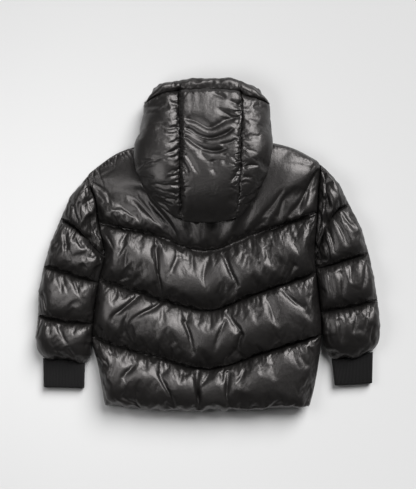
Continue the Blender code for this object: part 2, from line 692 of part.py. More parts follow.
    def make_centre(self, collection, material):
        """The centre panel: down from the mouth, round the low end and back below to the neck."""
        outer, inner = zip(*(self.centre_column(share) for share in np.linspace(0, 1, 11)))
        return thick_sheet("hood_centre", outer, inner, collection, material)

    def centre_point(self, share, level):
        """x and y of the centre panel at a share of its width and a row's level."""
        left, right = (seam(self.row_y(level, seam(level))) for seam in self.seams)
        x = left + SEAM_GAP / 2 + (right - left - SEAM_GAP) * share
        return x, self.row_y(level, x)

    def make_brim(self, collection, material):
        """The edge band, sewn to the mouth all the way round the panels' ends."""
        left, right = self.side_row(MOUTH_Y, True), self.side_row(MOUTH_Y, False)
        centre = [self.centre_column(share) for share in np.linspace(0, 1, 11)]
        mouth = [
            np.array(list(left[i][:0:-1]) + [column[i][0] for column in centre] + list(right[i][1:]))
            for i in (0, 1)
        ]
        edge = np.array(HOOD_BRIM_EDGE, float)
        grids = [[], []]
        for band, kept in BRIM_BANDS:
            rows = [[], []]
            for points in zip(*mouth):
                middle = (points[0] + points[1]) / 2
                for row, point in zip(rows, points):
                    x = point[0] * (1 - (1 - BRIM_NARROWING) * band)
                    reach = float(np.interp(x, edge[:, 0], edge[:, 1])) - float(point[1])
                    reach = BRIM_BELOW + (reach - BRIM_BELOW) * ease((middle[2] - 10) / 22)
                    y = point[1] + (middle[1] - point[1]) * (1 - kept) * (1 - band)
                    y += SEAM_GAP + max(reach - SEAM_GAP, 4.0) * band
                    x = x + (middle[0] - point[0]) * (1 - kept)
                    droop = BRIM_DROOP * band * band * ease((middle[2] - 10) / 22)
                    z = middle[2] + (point[2] - middle[2]) * kept - droop
                    row.append((float(x), float(y), float(z)))
            for grid, row in zip(grids, rows):
                grid.append(row)
        return thick_sheet("hood_brim", *grids, collection, material)


def make_zip(collection, material):
    """The closed front zip, a strip between the fronts."""
    bm = bmesh.new()
    bmesh.ops.create_cube(bm, size=1.0)
    low, high = ZIP_Z
    bmesh.ops.scale(bm, vec=(ZIP_WIDTH, ZIP_TOP - ZIP_BOTTOM, high - low), verts=bm.verts)
    bmesh.ops.translate(bm, vec=(ZIP_X, (ZIP_TOP + ZIP_BOTTOM) / 2, (high + low) / 2), verts=bm.verts)
    return new_object("zip", bm, collection, material)


def main():
    """Build every piece in a collection of its own."""
    for stray in list(bpy.data.objects):
        bpy.data.objects.remove(stray, do_unlink=True)
    collection = bpy.data.collections.new("puffer_jacket")
    bpy.context.scene.collection.children.link(collection)
    nylon = fabric("nylon", BLACK_NYLON, 0.36)
    rib_knit = fabric("rib_knit", BLACK_RIB, 0.9)
    zip_tape = fabric("zip_tape", BLACK_RIB, 0.6)
    body = Body()
    body.make_back(collection, nylon)
    body.make_front("front_left", True, collection, nylon)
    body.make_front("front_right", False, collection, nylon)
    make_zip(collection, zip_tape)
    for side, cuff_ends in (("left", CUFF_LEFT), ("right", CUFF_RIGHT)):
        sleeve = Sleeve("sleeve_" + side, side == "left", body)
        sleeve.make(collection, nylon)
        make_cuff("cuff_" + side, sleeve.lines[-1], cuff_ends, collection, rib_knit)
    hood = Hood(body)
    hood.make_side("hood_left", True, collection, nylon)
    hood.make_side("hood_right", False, collection, nylon)
    hood.make_centre(collection, nylon)
    hood.make_brim(collection, nylon)


main()
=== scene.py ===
"""Looks of a child's hooded puffer jacket that lies flat on its front, with its hood folded back.

Each padded piece is a fine sheet of cloth, laid over its filling and blown up by a short cloth
simulation that its seams hold down. Sizes are in millimetres until a mesh is made. +X runs to
the wearer's right, +Y towards the hood's brim and +Z up.
"""

import logging
import math
from dataclasses import dataclass, field, replace
from enum import Enum
from typing import Callable, Sequence

import bmesh
import bpy
import numpy as np
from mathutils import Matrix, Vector


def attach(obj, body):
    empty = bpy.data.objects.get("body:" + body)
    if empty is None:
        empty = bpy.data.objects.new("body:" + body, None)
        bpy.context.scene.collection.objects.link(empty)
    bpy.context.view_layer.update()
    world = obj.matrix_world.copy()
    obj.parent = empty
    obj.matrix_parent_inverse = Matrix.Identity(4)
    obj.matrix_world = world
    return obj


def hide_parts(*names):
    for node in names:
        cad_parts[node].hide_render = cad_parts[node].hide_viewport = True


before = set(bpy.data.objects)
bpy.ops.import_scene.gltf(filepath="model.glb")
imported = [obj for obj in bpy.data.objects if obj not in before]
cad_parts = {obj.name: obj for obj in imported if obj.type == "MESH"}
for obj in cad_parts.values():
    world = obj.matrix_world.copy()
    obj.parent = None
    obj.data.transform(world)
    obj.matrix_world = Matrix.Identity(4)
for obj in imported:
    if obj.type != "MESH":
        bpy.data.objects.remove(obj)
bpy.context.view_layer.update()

log = logging.getLogger("puffer_jacket")

MM = 0.001
FAR = 999.0  # too far from a seam or an end to feel it
BODY = "root"
SEED = 21
Array = np.ndarray
Curve = Callable[[Array], Array]
Pair = tuple[float, float]  # a flat point, or the least and the most of a size
Points = tuple[Pair, ...]
Triple = tuple[float, float, float]  # a colour, a place or a size
Piece = bpy.types.Object
Finish = bpy.types.Material
Random = np.random.Generator


class Side(Enum):
    """Which half of the jacket a piece belongs to, with the sign of its X."""

    LEFT = -1
    RIGHT = 1

    @property
    def word(self) -> str:
        """The side's name, as piece names end in it."""
        return self.name.lower()


class Slot(Enum):
    """The material slots, one for each finish."""

    NYLON = "nylon"
    RIB_KNIT = "rib_knit"
    ZIP_TAPE = "zip_tape"


# ---------------------------------------------------------------- lines and surfaces


def smooth_line(points: Sequence[tuple[float, ...]], steps: int = 12) -> Curve:
    """Make a smooth line through points.

    Args:
        points: The points, in order.
        steps: Straight steps between two points.

    Returns:
        A function from shares of the line's length to points on it.
    """
    knots = np.array([tuple(point)[:2] for point in points], float)
    reach = np.concatenate([[0.0], np.cumsum(np.linalg.norm(np.diff(knots, axis=0), axis=1))])
    slopes = np.gradient(knots, reach, axis=0)
    fine = []
    for i in range(len(knots) - 1):
        span = reach[i + 1] - reach[i]
        t = np.linspace(0, 1, steps, endpoint=False)[:, None]
        fine.append(
            (2 * t**3 - 3 * t**2 + 1) * knots[i] + (t**3 - 2 * t**2 + t) * span * slopes[i]
            + (3 * t**2 - 2 * t**3) * knots[i + 1] + (t**3 - t**2) * span * slopes[i + 1]
        )
    walked = np.vstack(fine + [knots[-1:]])
    length = np.concatenate([[0.0], np.cumsum(np.linalg.norm(np.diff(walked, axis=0), axis=1))])
    shares = length / length[-1]

    def line(share: Array) -> Array:
        """The points at these shares of the length."""
        return np.stack([np.interp(share, shares, walked[:, i]) for i in (0, 1)], axis=-1)

    return line


def side_line(edges: Sequence[Pair]) -> Curve:
    """Make an edge that runs down a piece.

    Args:
        edges: Pairs of y and x, in order.

    Returns:
        A function from heights y to the edge's x.
    """
    walked = smooth_line([(x, y) for y, x in edges])(np.linspace(0, 1, 300))
    order = np.argsort(walked[:, 1])
    return lambda y: np.interp(y, walked[order, 1], walked[order, 0])


def ease(value: Array) -> Array:
    """A smooth step from 0 at 0 to 1 at 1."""
    value = np.clip(value, 0.0, 1.0)
    return value * value * (3 - 2 * value)


def roll(distance: Array, width: float) -> Array:
    """Height of a rounded edge: 0 at the edge, and 1 where it has reached its width."""
    return np.sqrt(1 - (1 - np.clip(distance / width, 0.0, 1.0)) ** 2)


def bulge(share: Array, fullness: float = 2.2) -> Array:
    """Cross section of a filled baffle between two seams: an ellipse, or fuller."""
    return (1 - np.abs(2 * np.clip(share, 0.0, 1.0) - 1) ** fullness) ** (1 / fullness)


def fold_line(distance: Array, softness: float = 1.15) -> Array:
    """Cross section of a fold in thin cloth: a sharp bottom between two faces that flatten out."""
    return np.exp(-np.abs(distance) ** softness)


def stretch(line: Curve, start_y: float, end_y: float) -> Curve:
    """The stretch of a side line between two heights.

    Args:
        line: x at heights y.
        start_y, end_y: Where it starts and ends.

    Returns:
        A function from shares of the way to points.
    """

    def heights(share: Array) -> Array:
        """The heights at these shares."""
        return start_y + (end_y - start_y) * np.asarray(share, float)

    return lambda share: np.stack([line(heights(share)), heights(share)], axis=-1)


def patch(top: Curve, bottom: Curve, left: Curve, right: Curve, across: Array, down: Array) -> Array:
    """Span a surface between four edges that meet at their corners.

    Args:
        top, bottom: The edges at down 0 and down 1.
        left, right: The edges at across 0 and across 1.
        across: Shares of the way across, one for each column.
        down: Shares of the way down, one for each row.

    Returns:
        Points as rows, columns and x or y.
    """
    u, v = across[None, :, None], down[:, None, None]
    straight = (1 - v) * top(across)[None] + v * bottom(across)[None]
    sideways = (1 - u) * left(down)[:, None] + u * right(down)[:, None]
    ends = np.array([0.0, 1.0])
    (top_left, top_right), (low_left, low_right) = top(ends), bottom(ends)
    corners = (1 - v) * ((1 - u) * top_left + u * top_right) + v * ((1 - u) * low_left + u * low_right)
    return straight + sideways - corners


def segment_distance(x: Array, y: Array, start: Pair, end: Pair) -> tuple[Array, Array]:
    """Measure points against a straight stretch.

    Args:
        x, y: The points.
        start, end: The ends of the stretch.

    Returns:
        Each point's distance, and the share of the stretch that it lies beside.
    """
    dx, dy = end[0] - start[0], end[1] - start[1]
    along = np.clip(((x - start[0]) * dx + (y - start[1]) * dy) / (dx * dx + dy * dy), 0.0, 1.0)
    return np.hypot(x - start[0] - along * dx, y - start[1] - along * dy), along


def depth_inside(outline: Sequence[Pair], x: Array, y: Array) -> Array:
    """How far points lie inside a closed outline; less than 0 outside.

    Args:
        outline: Its corners, in order.
        x, y: The points.

    Returns:
        The depth of each point.
    """
    nearest = np.full(np.shape(x), np.inf)
    inside = np.zeros(np.shape(x), bool)
    for start, end in zip(outline, list(outline[1:]) + [outline[0]]):
        nearest = np.minimum(nearest, segment_distance(x, y, start, end)[0])
        if start[1] != end[1]:
            crosses = (start[1] > y) != (end[1] > y)
            inside ^= crosses & (x < start[0] + (y - start[1]) * (end[0] - start[0]) / (end[1] - start[1]))
    return np.where(inside, nearest, -nearest)


@dataclass(frozen=True)
class Crease:
    """A fold pressed into the cloth, from one point to another, bowed sideways at its middle."""

    x0: float
    y0: float
    x1: float
    y1: float
    depth: float
    width: float = 5.0
    bow: float = 0.0
    lean: float = 0.3

    def path(self) -> Array:
        """Points along the fold.

        Returns:
            The points, as rows of x and y.
        """
        share = np.linspace(0, 1, 9)[:, None]
        start, end = np.array([self.x0, self.y0]), np.array([self.x1, self.y1])
        across = np.array([start[1] - end[1], end[0] - start[0]]) / np.linalg.norm(end - start)
        wave = self.bow * 4 * share * (1 - share) + 1.2 * np.sin(2 * np.pi * share + self.x0)
        return start + (end - start) * share + across * wave

    def fade(self, along: Array) -> Array:
        """How much of its depth is left along it: it starts in a seam and runs out to a point."""
        return ease(along / 0.12 + 0.35) * ease((1 - along) / 0.5)

    def thinning(self, along: Array) -> Array:
        """How much of its width is left along it."""
        return 1.25 - 0.7 * along

    def pressed(self, x: Array, y: Array, narrower: float = 1.0) -> Array:
        """How deep the crease is at these points: a sharp fold that is steeper on one side.

        Args:
            x, y: The points.
            narrower: Share of the crease's width that is used.

        Returns:
            The depth at each point.
        """
        path = self.path()
        low, high = path.min(axis=0) - 6 * self.width, path.max(axis=0) + 6 * self.width
        close = (x > low[0]) & (x < high[0]) & (y > low[1]) & (y < high[1])
        near_x, near_y = x[close], y[close]
        away, along = np.full(near_x.shape, np.inf), np.zeros(near_x.shape)
        for number, (start, end) in enumerate(zip(path, path[1:])):
            distance, share = segment_distance(near_x, near_y, tuple(start), tuple(end))
            nearer = distance < np.abs(away)
            (dx, dy), (start_x, start_y) = end - start, start
            side = np.sign(dx * (near_y - start_y) - dy * (near_x - start_x))
            away = np.where(nearer, distance * np.where(side == 0, 1, side), away)
            along = np.where(nearer, (number + share) / (len(path) - 1), along)
        reach = np.maximum(self.width * narrower * self.thinning(along), 2.0)
        beside = away / (reach * np.where(away > 0, 1 + self.lean, 1 - self.lean))
        depth = np.zeros(np.shape(x))
        depth[close] = self.depth * self.fade(along) * fold_line(beside)
        return depth


@dataclass(frozen=True)
class Fold(Crease):
    """A long fold through several points that runs out at both ends."""

    through: Points = ()

    def path(self) -> Array:
        """Points along the fold."""
        knots = ((self.x0, self.y0), *self.through, (self.x1, self.y1))
        return smooth_line(knots)(np.linspace(0, 1, 25))

    def fade(self, along: Array) -> Array:
        """How much of its depth is left along it."""
        return ease(np.minimum(along, 1 - along) / 0.16 + 0.1)

    def thinning(self, along: Array) -> Array:
        """How much of its width is left along it."""
        return 0.7 + 0.3 * ease(np.minimum(along, 1 - along) / 0.3)


def creases_of(*rows: tuple[float, ...]) -> tuple[Crease, ...]:
    """Creases from rows of x0, y0, x1, y1, depth, width and bow."""
    return tuple(Crease(*row) for row in rows)


def creased(creases: Sequence[Crease], x: Array, y: Array, narrower: float = 1.0) -> Array:
    """How deep all creases press the cloth in at these points.

    Args:
        creases: The creases.
        x, y: The points.
        narrower: Share of each crease's width that is used.

    Returns:
        The depth at each point.
    """
    return sum((crease.pressed(x, y, narrower) for crease in creases), np.zeros(np.shape(x)))


@dataclass(frozen=True)
class Puckers:
    """The small pleats that a row of stitching draws up, each of its own length, depth and slant."""

    pitch: float = 9.5
    depth: Pair = (1.0, 3.4)
    reach: Pair = (9.0, 38.0)
    width: Pair = (2.4, 4.6)
    slant: float = 0.32

    def drawn(self, along: Array, away: Array, length: float, rng: Random) -> Array:
        """Draw up the cloth beside one seam.

        Args:
            along: Distance along the seam of each point.
            away: Distance from the seam of each point.
            length: The seam's length.
            rng: The source of the pleats' sizes.

        Returns:
            How far each point is pressed in.
        """
        along, away = np.broadcast_arrays(along, away)
        pressed = np.zeros(along.shape)
        count = int(length / self.pitch)
        places = (np.arange(count) + rng.uniform(0.1, 0.9, count)) * length / max(count, 1)
        long_ones = rng.uniform(0, 1, count) ** 2.2
        for place, share in zip(places, long_ones):
            least, most = self.depth
            depth = least + (most - least) * rng.uniform(0.3, 1.0) * (0.5 + 0.5 * share)
            reach = self.reach[0] + (self.reach[1] - self.reach[0]) * share
            width = rng.uniform(*self.width)
            slant, bow = rng.normal(0, self.slant), rng.normal(0, 0.12)
            share = np.clip(away / reach, 0, 1)
            beside = (along - place - (slant + bow * share) * away) / (width * (1.3 - 0.9 * share))
            close = (np.abs(beside) < 4.0) & (away < reach)
            fade = ease(away[close] / 2.5) * (1 - share[close]) ** 0.8
            pressed[close] += depth * fade * fold_line(beside[close])
        return pressed


# ---------------------------------------------------------------- meshes


def wander(along: Array, pitch: float, rng: Random) -> Array:
    """A smooth random line between -1 and 1 that turns about every pitch.

    Args:
        along: Where the line is read.
        pitch: Spacing of its turns.
        rng: The source of its heights.

    Returns:
        Its height at each place.
    """
    knots = np.arange(float(np.min(along)) - pitch, float(np.max(along)) + 2 * pitch, pitch)
    heights = rng.uniform(-1, 1, len(knots))
    place = (np.asarray(along) - knots[0]) / pitch
    first = np.clip(place.astype(int), 0, len(knots) - 2)
    return heights[first] + (heights[first + 1] - heights[first]) * ease(place - first)


@dataclass(frozen=True)
class Slack:
    """Where a baffle's cloth is longer than its seams: most below each seam, some above it."""

    below: float = 26.0
    above: float = 16.0
    uneven: float = 0.55
    pitch: float = 26.0

    def share(self, grid: "BayGrid", rng: Random) -> Array:
        """Share of the spare cloth at each point.

        Args:
            grid: The piece's points.
            rng: The source of the unevenness along the seams.

        Returns:
            Shares from 0 to 1.
        """
        along = grid.across * float(grid.width.max())
        result = np.zeros(grid.x.shape)
        for bay in range(int(grid.bay.max()) + 1):
            rows = grid.bay == bay
            down = grid.share[rows, None] * grid.length[rows]
            reach = 1 + self.uneven * wander(along, self.pitch, rng)
            under = ease(1.4 - down / (self.below * reach)) * (bay > 0)
            reach = 1 + self.uneven * wander(along, self.pitch, rng)
            over = 0.6 * ease(1.3 - (grid.length[rows] - down) / (self.above * reach))
            result[rows] = np.maximum(under, over)
        return result


def waver(grid: "BayGrid", amount: float, rng: Random, pitch: float = 9.0, near: float = 7.0) -> Array:
    """How far the cloth beside each seam wavers with the pull of its stitches.

    Args:
        grid: The piece's points.
        amount: The farthest move.
        rng: The source of the unevenness.
        pitch: How often the line turns.
        near: How far from the seam it is still felt.

    Returns:
        The move of each point.
    """
    shift = np.zeros(grid.x.shape)
    for seam in range(1, int(grid.bay.max()) + 1):
        line = amount * wander(grid.across * float(grid.width.max()), pitch, rng)
        for bay, away in ((seam - 1, 1 - grid.share), (seam, grid.share)):
            rows = grid.bay == bay
            shift[rows] += line * np.exp(-((away[rows, None] * grid.length[rows] / near) ** 2))
    return shift


def clear_selection() -> None:
    """Deselect everything, so that an operator acts only on what follows."""
    bpy.ops.object.select_all(action="DESELECT")


def make_active(piece: Piece) -> None:
    """Select one piece alone and make it the active one.

    Args:
        piece: The piece.
    """
    clear_selection()
    piece.select_set(True)
    bpy.context.view_layer.objects.active = piece


def apply_modifiers(piece: Piece) -> None:
    """Apply every modifier of a piece, in order.

    Args:
        piece: The piece.
    """
    make_active(piece)
    for modifier in list(piece.modifiers):
        bpy.ops.object.modifier_apply(modifier=modifier.name)


def mesh_piece(name: str, points: Array, faces: Sequence[Sequence[int]]) -> Piece:
    """Make a piece from points in millimetres.

    Args:
        name: The piece's name.
        points: Its points.
        faces: The corners of its faces.

    Returns:
        The new object.
    """
    mesh = bpy.data.meshes.new(name)
    places = np.asarray(points, float).reshape(-1, 3) * MM
    mesh.from_pydata(places.tolist(), [], [list(face) for face in faces])
    mesh.update()
    piece = bpy.data.objects.new(name, mesh)
    bpy.context.scene.collection.objects.link(piece)
    return piece


def grid_faces(rows: int, columns: int, start: int = 0, closed: bool = False) -> Array:
    """Corners of the quads over a grid of points.

    Args:
        rows, columns: The grid's size.
        start: Index of its first point.
        closed: Whether the last column meets the first.

    Returns:
        Four corners for each quad.
    """
    index = start + np.arange(rows * columns).reshape(rows, columns)
    if closed:
        index = np.hstack([index, index[:, :1]])
    quads = np.stack([index[:-1, :-1], index[1:, :-1], index[1:, 1:], index[:-1, 1:]], axis=-1)
    return quads.reshape(-1, 4)


def points_of(piece: Piece) -> Array:
    """The points of a piece's mesh, in millimetres.

    Args:
        piece: The piece.

    Returns:
        A row for each point.
    """
    flat = np.empty(len(piece.data.vertices) * 3)
    piece.data.vertices.foreach_get("co", flat)
    return flat.reshape(-1, 3) / MM


def set_points(piece: Piece, points: Array) -> None:
    """Move a piece's points to these places, in millimetres."""
    piece.data.vertices.foreach_set("co", (np.asarray(points, float) * MM).ravel())
    piece.data.update()


def dress(piece: Piece, finish: Finish, angle: float = 60.0) -> None:
    """Give a piece its material and shade it smooth.

    Args:
        piece: The piece.
        finish: The material.
        angle: Edges sharper than this stay sharp, in degrees.
    """
    piece.data.materials.append(finish)
    make_active(piece)
    bpy.ops.object.shade_smooth_by_angle(angle=math.radians(angle))


def face_outwards(piece: Piece) -> None:
    """Turn a closed piece's faces outwards.

    Args:
        piece: The piece.
    """
    shape = bmesh.new()
    shape.from_mesh(piece.data)
    bmesh.ops.recalc_face_normals(shape, faces=shape.faces)
    shape.to_mesh(piece.data)
    shape.free()


def weigh(piece: Piece, name: str, weights: Array) -> bpy.types.VertexGroup:
    """Keep a weight from 0 to 1 with each point, as a vertex group.

    Args:
        piece: The piece.
        name: The group's name.
        weights: A weight for each point.

    Returns:
        The group.
    """
    group = piece.vertex_groups.new(name=name)
    rounded = np.round(weights, 2)
    for weight in np.unique(rounded[rounded > 0]):
        group.add(np.flatnonzero(rounded == weight).tolist(), float(weight), "REPLACE")
    return group


@dataclass(frozen=True)
class Filling:
    """How a cloth sheet is sewn in over its filling: its seams draw it up while it is blown up.

    gathered is how much longer the cloth is than its seams, across and along the piece; spare is
    how much the cloth grows where its slack is 1.
    """

    gathered: Pair = (0.12, 0.04)
    spare: float = 0.0
    pressure: float = 3.0
    bending: float = 0.5
    frames: int = 24
    drawn_up_by: int = 12
    quality: int = 5
    mass: float = 0.3
    stiffness: float = 15.0
    shear: float = 5.0
    farthest: float = 5.0
    wrinkle: float = 7.0
    window: int = 13
    unevenness: float = 0.1

    def settle(self, moved: Array, shape: tuple[int, int]) -> Array:
        """Hold back how far the cloth rises as a whole, and keep its wrinkles.

        Args:
            moved: How far each point has moved.
            shape: Rows and columns of the grid that comes first.

        Returns:
            The moves that are kept.
        """
        count = shape[0] * shape[1]
        grid = moved[:count].reshape(*shape, 3)
        broad = grid.copy()
        half = self.window // 2
        for axis in (0, 1, 0, 1):
            padded = np.concatenate([
                np.repeat(np.take(broad, [0], axis=axis), half + 1, axis=axis), broad,
                np.repeat(np.take(broad, [-1], axis=axis), half, axis=axis),
            ], axis=axis)
            total = np.cumsum(padded, axis=axis)
            size = broad.shape[axis]
            ahead = np.take(total, np.arange(self.window, self.window + size), axis=axis)
            broad = (ahead - np.take(total, np.arange(size), axis=axis)) / self.window
        parts = []
        for part, limit in ((broad, self.farthest), (grid - broad, self.wrinkle)):
            far = np.linalg.norm(part, axis=-1, keepdims=True) + 1e-9
            parts.append(part / far * limit * np.tanh(far / limit))
        return np.concatenate([sum(parts).reshape(-1, 3), moved[count:]])

    def as_cut(self, sewn: Array, shape: tuple[int, int], longer: Array | None) -> Array:
        """Spread a sheet out to where its points lie before its seams draw it up.

        Args:
            sewn: Its points when sewn, the grid's first.
            shape: Rows and columns of the grid.
            longer: Share of the gathering across it at each point of the grid; all of it if left out.

        Returns:
            The points before sewing.
        """
        grid = sewn[: shape[0] * shape[1]].reshape(*shape, 3)
        share = np.ones(shape) if longer is None else longer
        steps = np.diff(grid, axis=1) * (share[:, 1:] + share[:, :-1])[..., None] / 2 * self.gathered[0]
        extra = np.concatenate([np.zeros((shape[0], 1, 3)), np.cumsum(steps, axis=1)], axis=1)
        extra = extra - extra[:, shape[1] // 2, None]
        extra[..., 1] += (grid[..., 1] - grid[..., 1].mean()) * self.gathered[1]
        extra[..., 2] = 0
        cut = sewn.copy()
        cut[: shape[0] * shape[1]] += extra.reshape(-1, 3)
        return cut

    def inflate(
        self,
        piece: Piece,
        held: Array,
        shape: tuple[int, int],
        seed: int,
        longer: Array | None = None,
        slack: Array | None = None,
    ) -> None:
        """Blow a sheet up between the points that are held, and keep the result.

        Args:
            piece: The sheet.
            held: How firmly each point is held, from 0 to 1.
            shape: Rows and columns of the sheet's grid.
            seed: Seed of the small unevenness that starts the wrinkles.
            longer: Share of the gathering at each point of the grid; all of it if left out.
            slack: Share of the spare cloth at each point, from 0 to 1; none where it is left out.
        """
        before = points_of(piece)
        rng = np.random.default_rng(seed)
        start = before.copy()
        start[:, 2] += rng.normal(0, self.unevenness, len(before)) * (held < 1)
        set_points(piece, self.as_cut(start, shape, longer))
        pins = weigh(piece, "held", held)
        piece.shape_key_add(name="cut")
        sewn = piece.shape_key_add(name="sewn")
        sewn.data.foreach_set("co", (start * MM).ravel())
        for number, value in ((1, 0.0), (self.drawn_up_by, 1.0)):
            sewn.value = value
            sewn.keyframe_insert("value", frame=number)
        modifier = piece.modifiers.new("filling", "CLOTH")
        cloth = modifier.settings
        cloth.quality = self.quality
        cloth.mass = self.mass
        cloth.tension_stiffness = cloth.compression_stiffness = self.stiffness
        cloth.shear_stiffness = self.shear
        cloth.bending_stiffness = self.bending
        cloth.vertex_group_mass = pins.name
        if slack is not None:
            cloth.vertex_group_shrink = weigh(piece, "slack", slack).name
            cloth.shrink_min, cloth.shrink_max = 0.0, -self.spare
        cloth.use_pressure = True
        cloth.uniform_pressure_force = self.pressure
        cloth.use_pressure_volume = True
        cloth.target_volume = 0
        cloth.effector_weights.gravity = 0
        modifier.collision_settings.use_collision = False
        modifier.point_cache.frame_start = 1
        modifier.point_cache.frame_end = self.frames
        for number in range(1, self.frames + 1):
            bpy.context.scene.frame_set(number)
        blown = points_of(piece.evaluated_get(bpy.context.evaluated_depsgraph_get()))
        action = piece.data.shape_keys.animation_data.action
        piece.modifiers.clear()
        piece.shape_key_clear()
        bpy.data.actions.remove(action)
        bpy.context.scene.frame_set(1)
        moved = self.settle(blown - before, shape)
        moved[held == 1] = 0
        set_points(piece, before + moved)
        piece.vertex_groups.clear()


def subdivide_once(piece: Piece) -> None:
    """Add and apply one level of Subdivision Surface.

    Args:
        piece: The piece.
    """
    modifier = piece.modifiers.new("fine", "SUBSURF")
    modifier.levels = modifier.render_levels = 1
    modifier.boundary_smooth = "ALL"
    apply_modifiers(piece)


def sink(piece: Piece, depth: Array) -> None:
    """Press each point in along its normal, on faces that look up.

    Args:
        piece: The piece.
        depth: How far each point goes in.
    """
    normals = np.empty(len(piece.data.vertices) * 3)
    piece.data.vertices.foreach_get("normal", normals)
    normals = normals.reshape(-1, 3)
    upward = ease(2.5 * normals[:, 2:])
    set_points(piece, points_of(piece) - normals * upward * depth[:, None])


def beside_seams(grid: "BayGrid") -> Array:
    """For each point: its distance along the rows, its distance from the nearer seam, and which seam side.

    Args:
        grid: The piece's points.

    Returns:
        The three numbers of each point.
    """
    share = np.broadcast_to(grid.share[:, None], grid.x.shape)
    near = np.minimum(share, 1 - share) * grid.length
    along = grid.across[None] * grid.width.max() + 0 * share
    return np.dstack([along, near, 2.0 * grid.bay[:, None] + (share >= 0.5)])


def pucker_finely(piece: Piece, seams: Array, puckers: Sequence[Puckers], sides: int, rng: Random) -> None:
    """Subdivide a piece once and draw up the finest pleats beside every seam side.

    Args:
        piece: The piece, blown up.
        seams: What beside_seams gave, for each of its points.
        puckers: The sets of pleats for the lower and the upper side of a seam.
        sides: How many seam sides there are.
        rng: The source of the pleats' sizes.
    """
    carried = piece.data.attributes.new("seams", "FLOAT_VECTOR", "POINT")
    carried.data.foreach_set("vector", np.asarray(seams, float).ravel())
    subdivide_once(piece)
    carried = piece.data.attributes["seams"]
    flat = np.empty(len(carried.data) * 3)
    carried.data.foreach_get("vector", flat)
    piece.data.attributes.remove(carried)
    along, away, side_of = flat.reshape(-1, 3).T
    depth = np.zeros(len(along))
    for side in range(sides):
        rows = np.round(side_of).astype(int) == side
        depth[rows] += puckers[side % 2].drawn(along[rows], away[rows], float(along.max()), rng)
    sink(piece, depth)


def close_onto_plane(piece: Piece, height: float) -> None:
    """Carry a sheet's open edge straight to a plane and fill it there, as a plain inner face.

    Args:
        piece: The sheet.
        height: Height of the plane.
    """
    shape = bmesh.new()
    shape.from_mesh(piece.data)
    rim = [edge for edge in shape.edges if edge.is_boundary]
    lowered = bmesh.ops.extrude_edge_only(shape, edges=rim)["geom"]
    ends = [item for item in lowered if isinstance(item, bmesh.types.BMVert)]
    for vert in ends:
        vert.co.z = height * MM
    edges = [item for item in lowered if isinstance(item, bmesh.types.BMEdge) and item.is_boundary]
    bmesh.ops.contextual_create(shape, geom=edges)
    bmesh.ops.recalc_face_normals(shape, faces=shape.faces)
    shape.to_mesh(piece.data)
    shape.free()


def register(piece: Piece, slot: Slot, *nodes: str) -> None:
    """Say what a finished piece rides on, and hide the CAD nodes that it stands for.

    Args:
        piece: The finished piece.
        slot: Not used.
        nodes: The CAD nodes that it replaces.
    """
    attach(piece, BODY)
    if nodes:
        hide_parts(*nodes)
    log.info("%s: %d faces", piece.name, len(piece.data.polygons))


# ---------------------------------------------------------------- shader graph


class Value:
    """A shader socket that takes part in Python arithmetic through Math nodes."""

    def __init__(self, graph: "Graph", socket: bpy.types.NodeSocket) -> None:
        """Wrap a socket of a graph."""
        self.graph = graph
        self.socket = socket

    def _maths(self, operation: str, *values: object) -> "Value":
        """Add a Math node over one or two values."""
        return self.graph.node("ShaderNodeMath", {"operation": operation}, dict(enumerate(values)))

    def __add__(self, other: object) -> "Value":
        """Its sum with another value."""
        return self._maths("ADD", self, other)

    __radd__ = __add__

    def __mul__(self, other: object) -> "Value":
        """Its product with another value."""
        return self._maths("MULTIPLY", self, other)

    __rmul__ = __mul__

    def sine(self) -> "Value":
        """Its sine."""
        return self._maths("SINE", self)


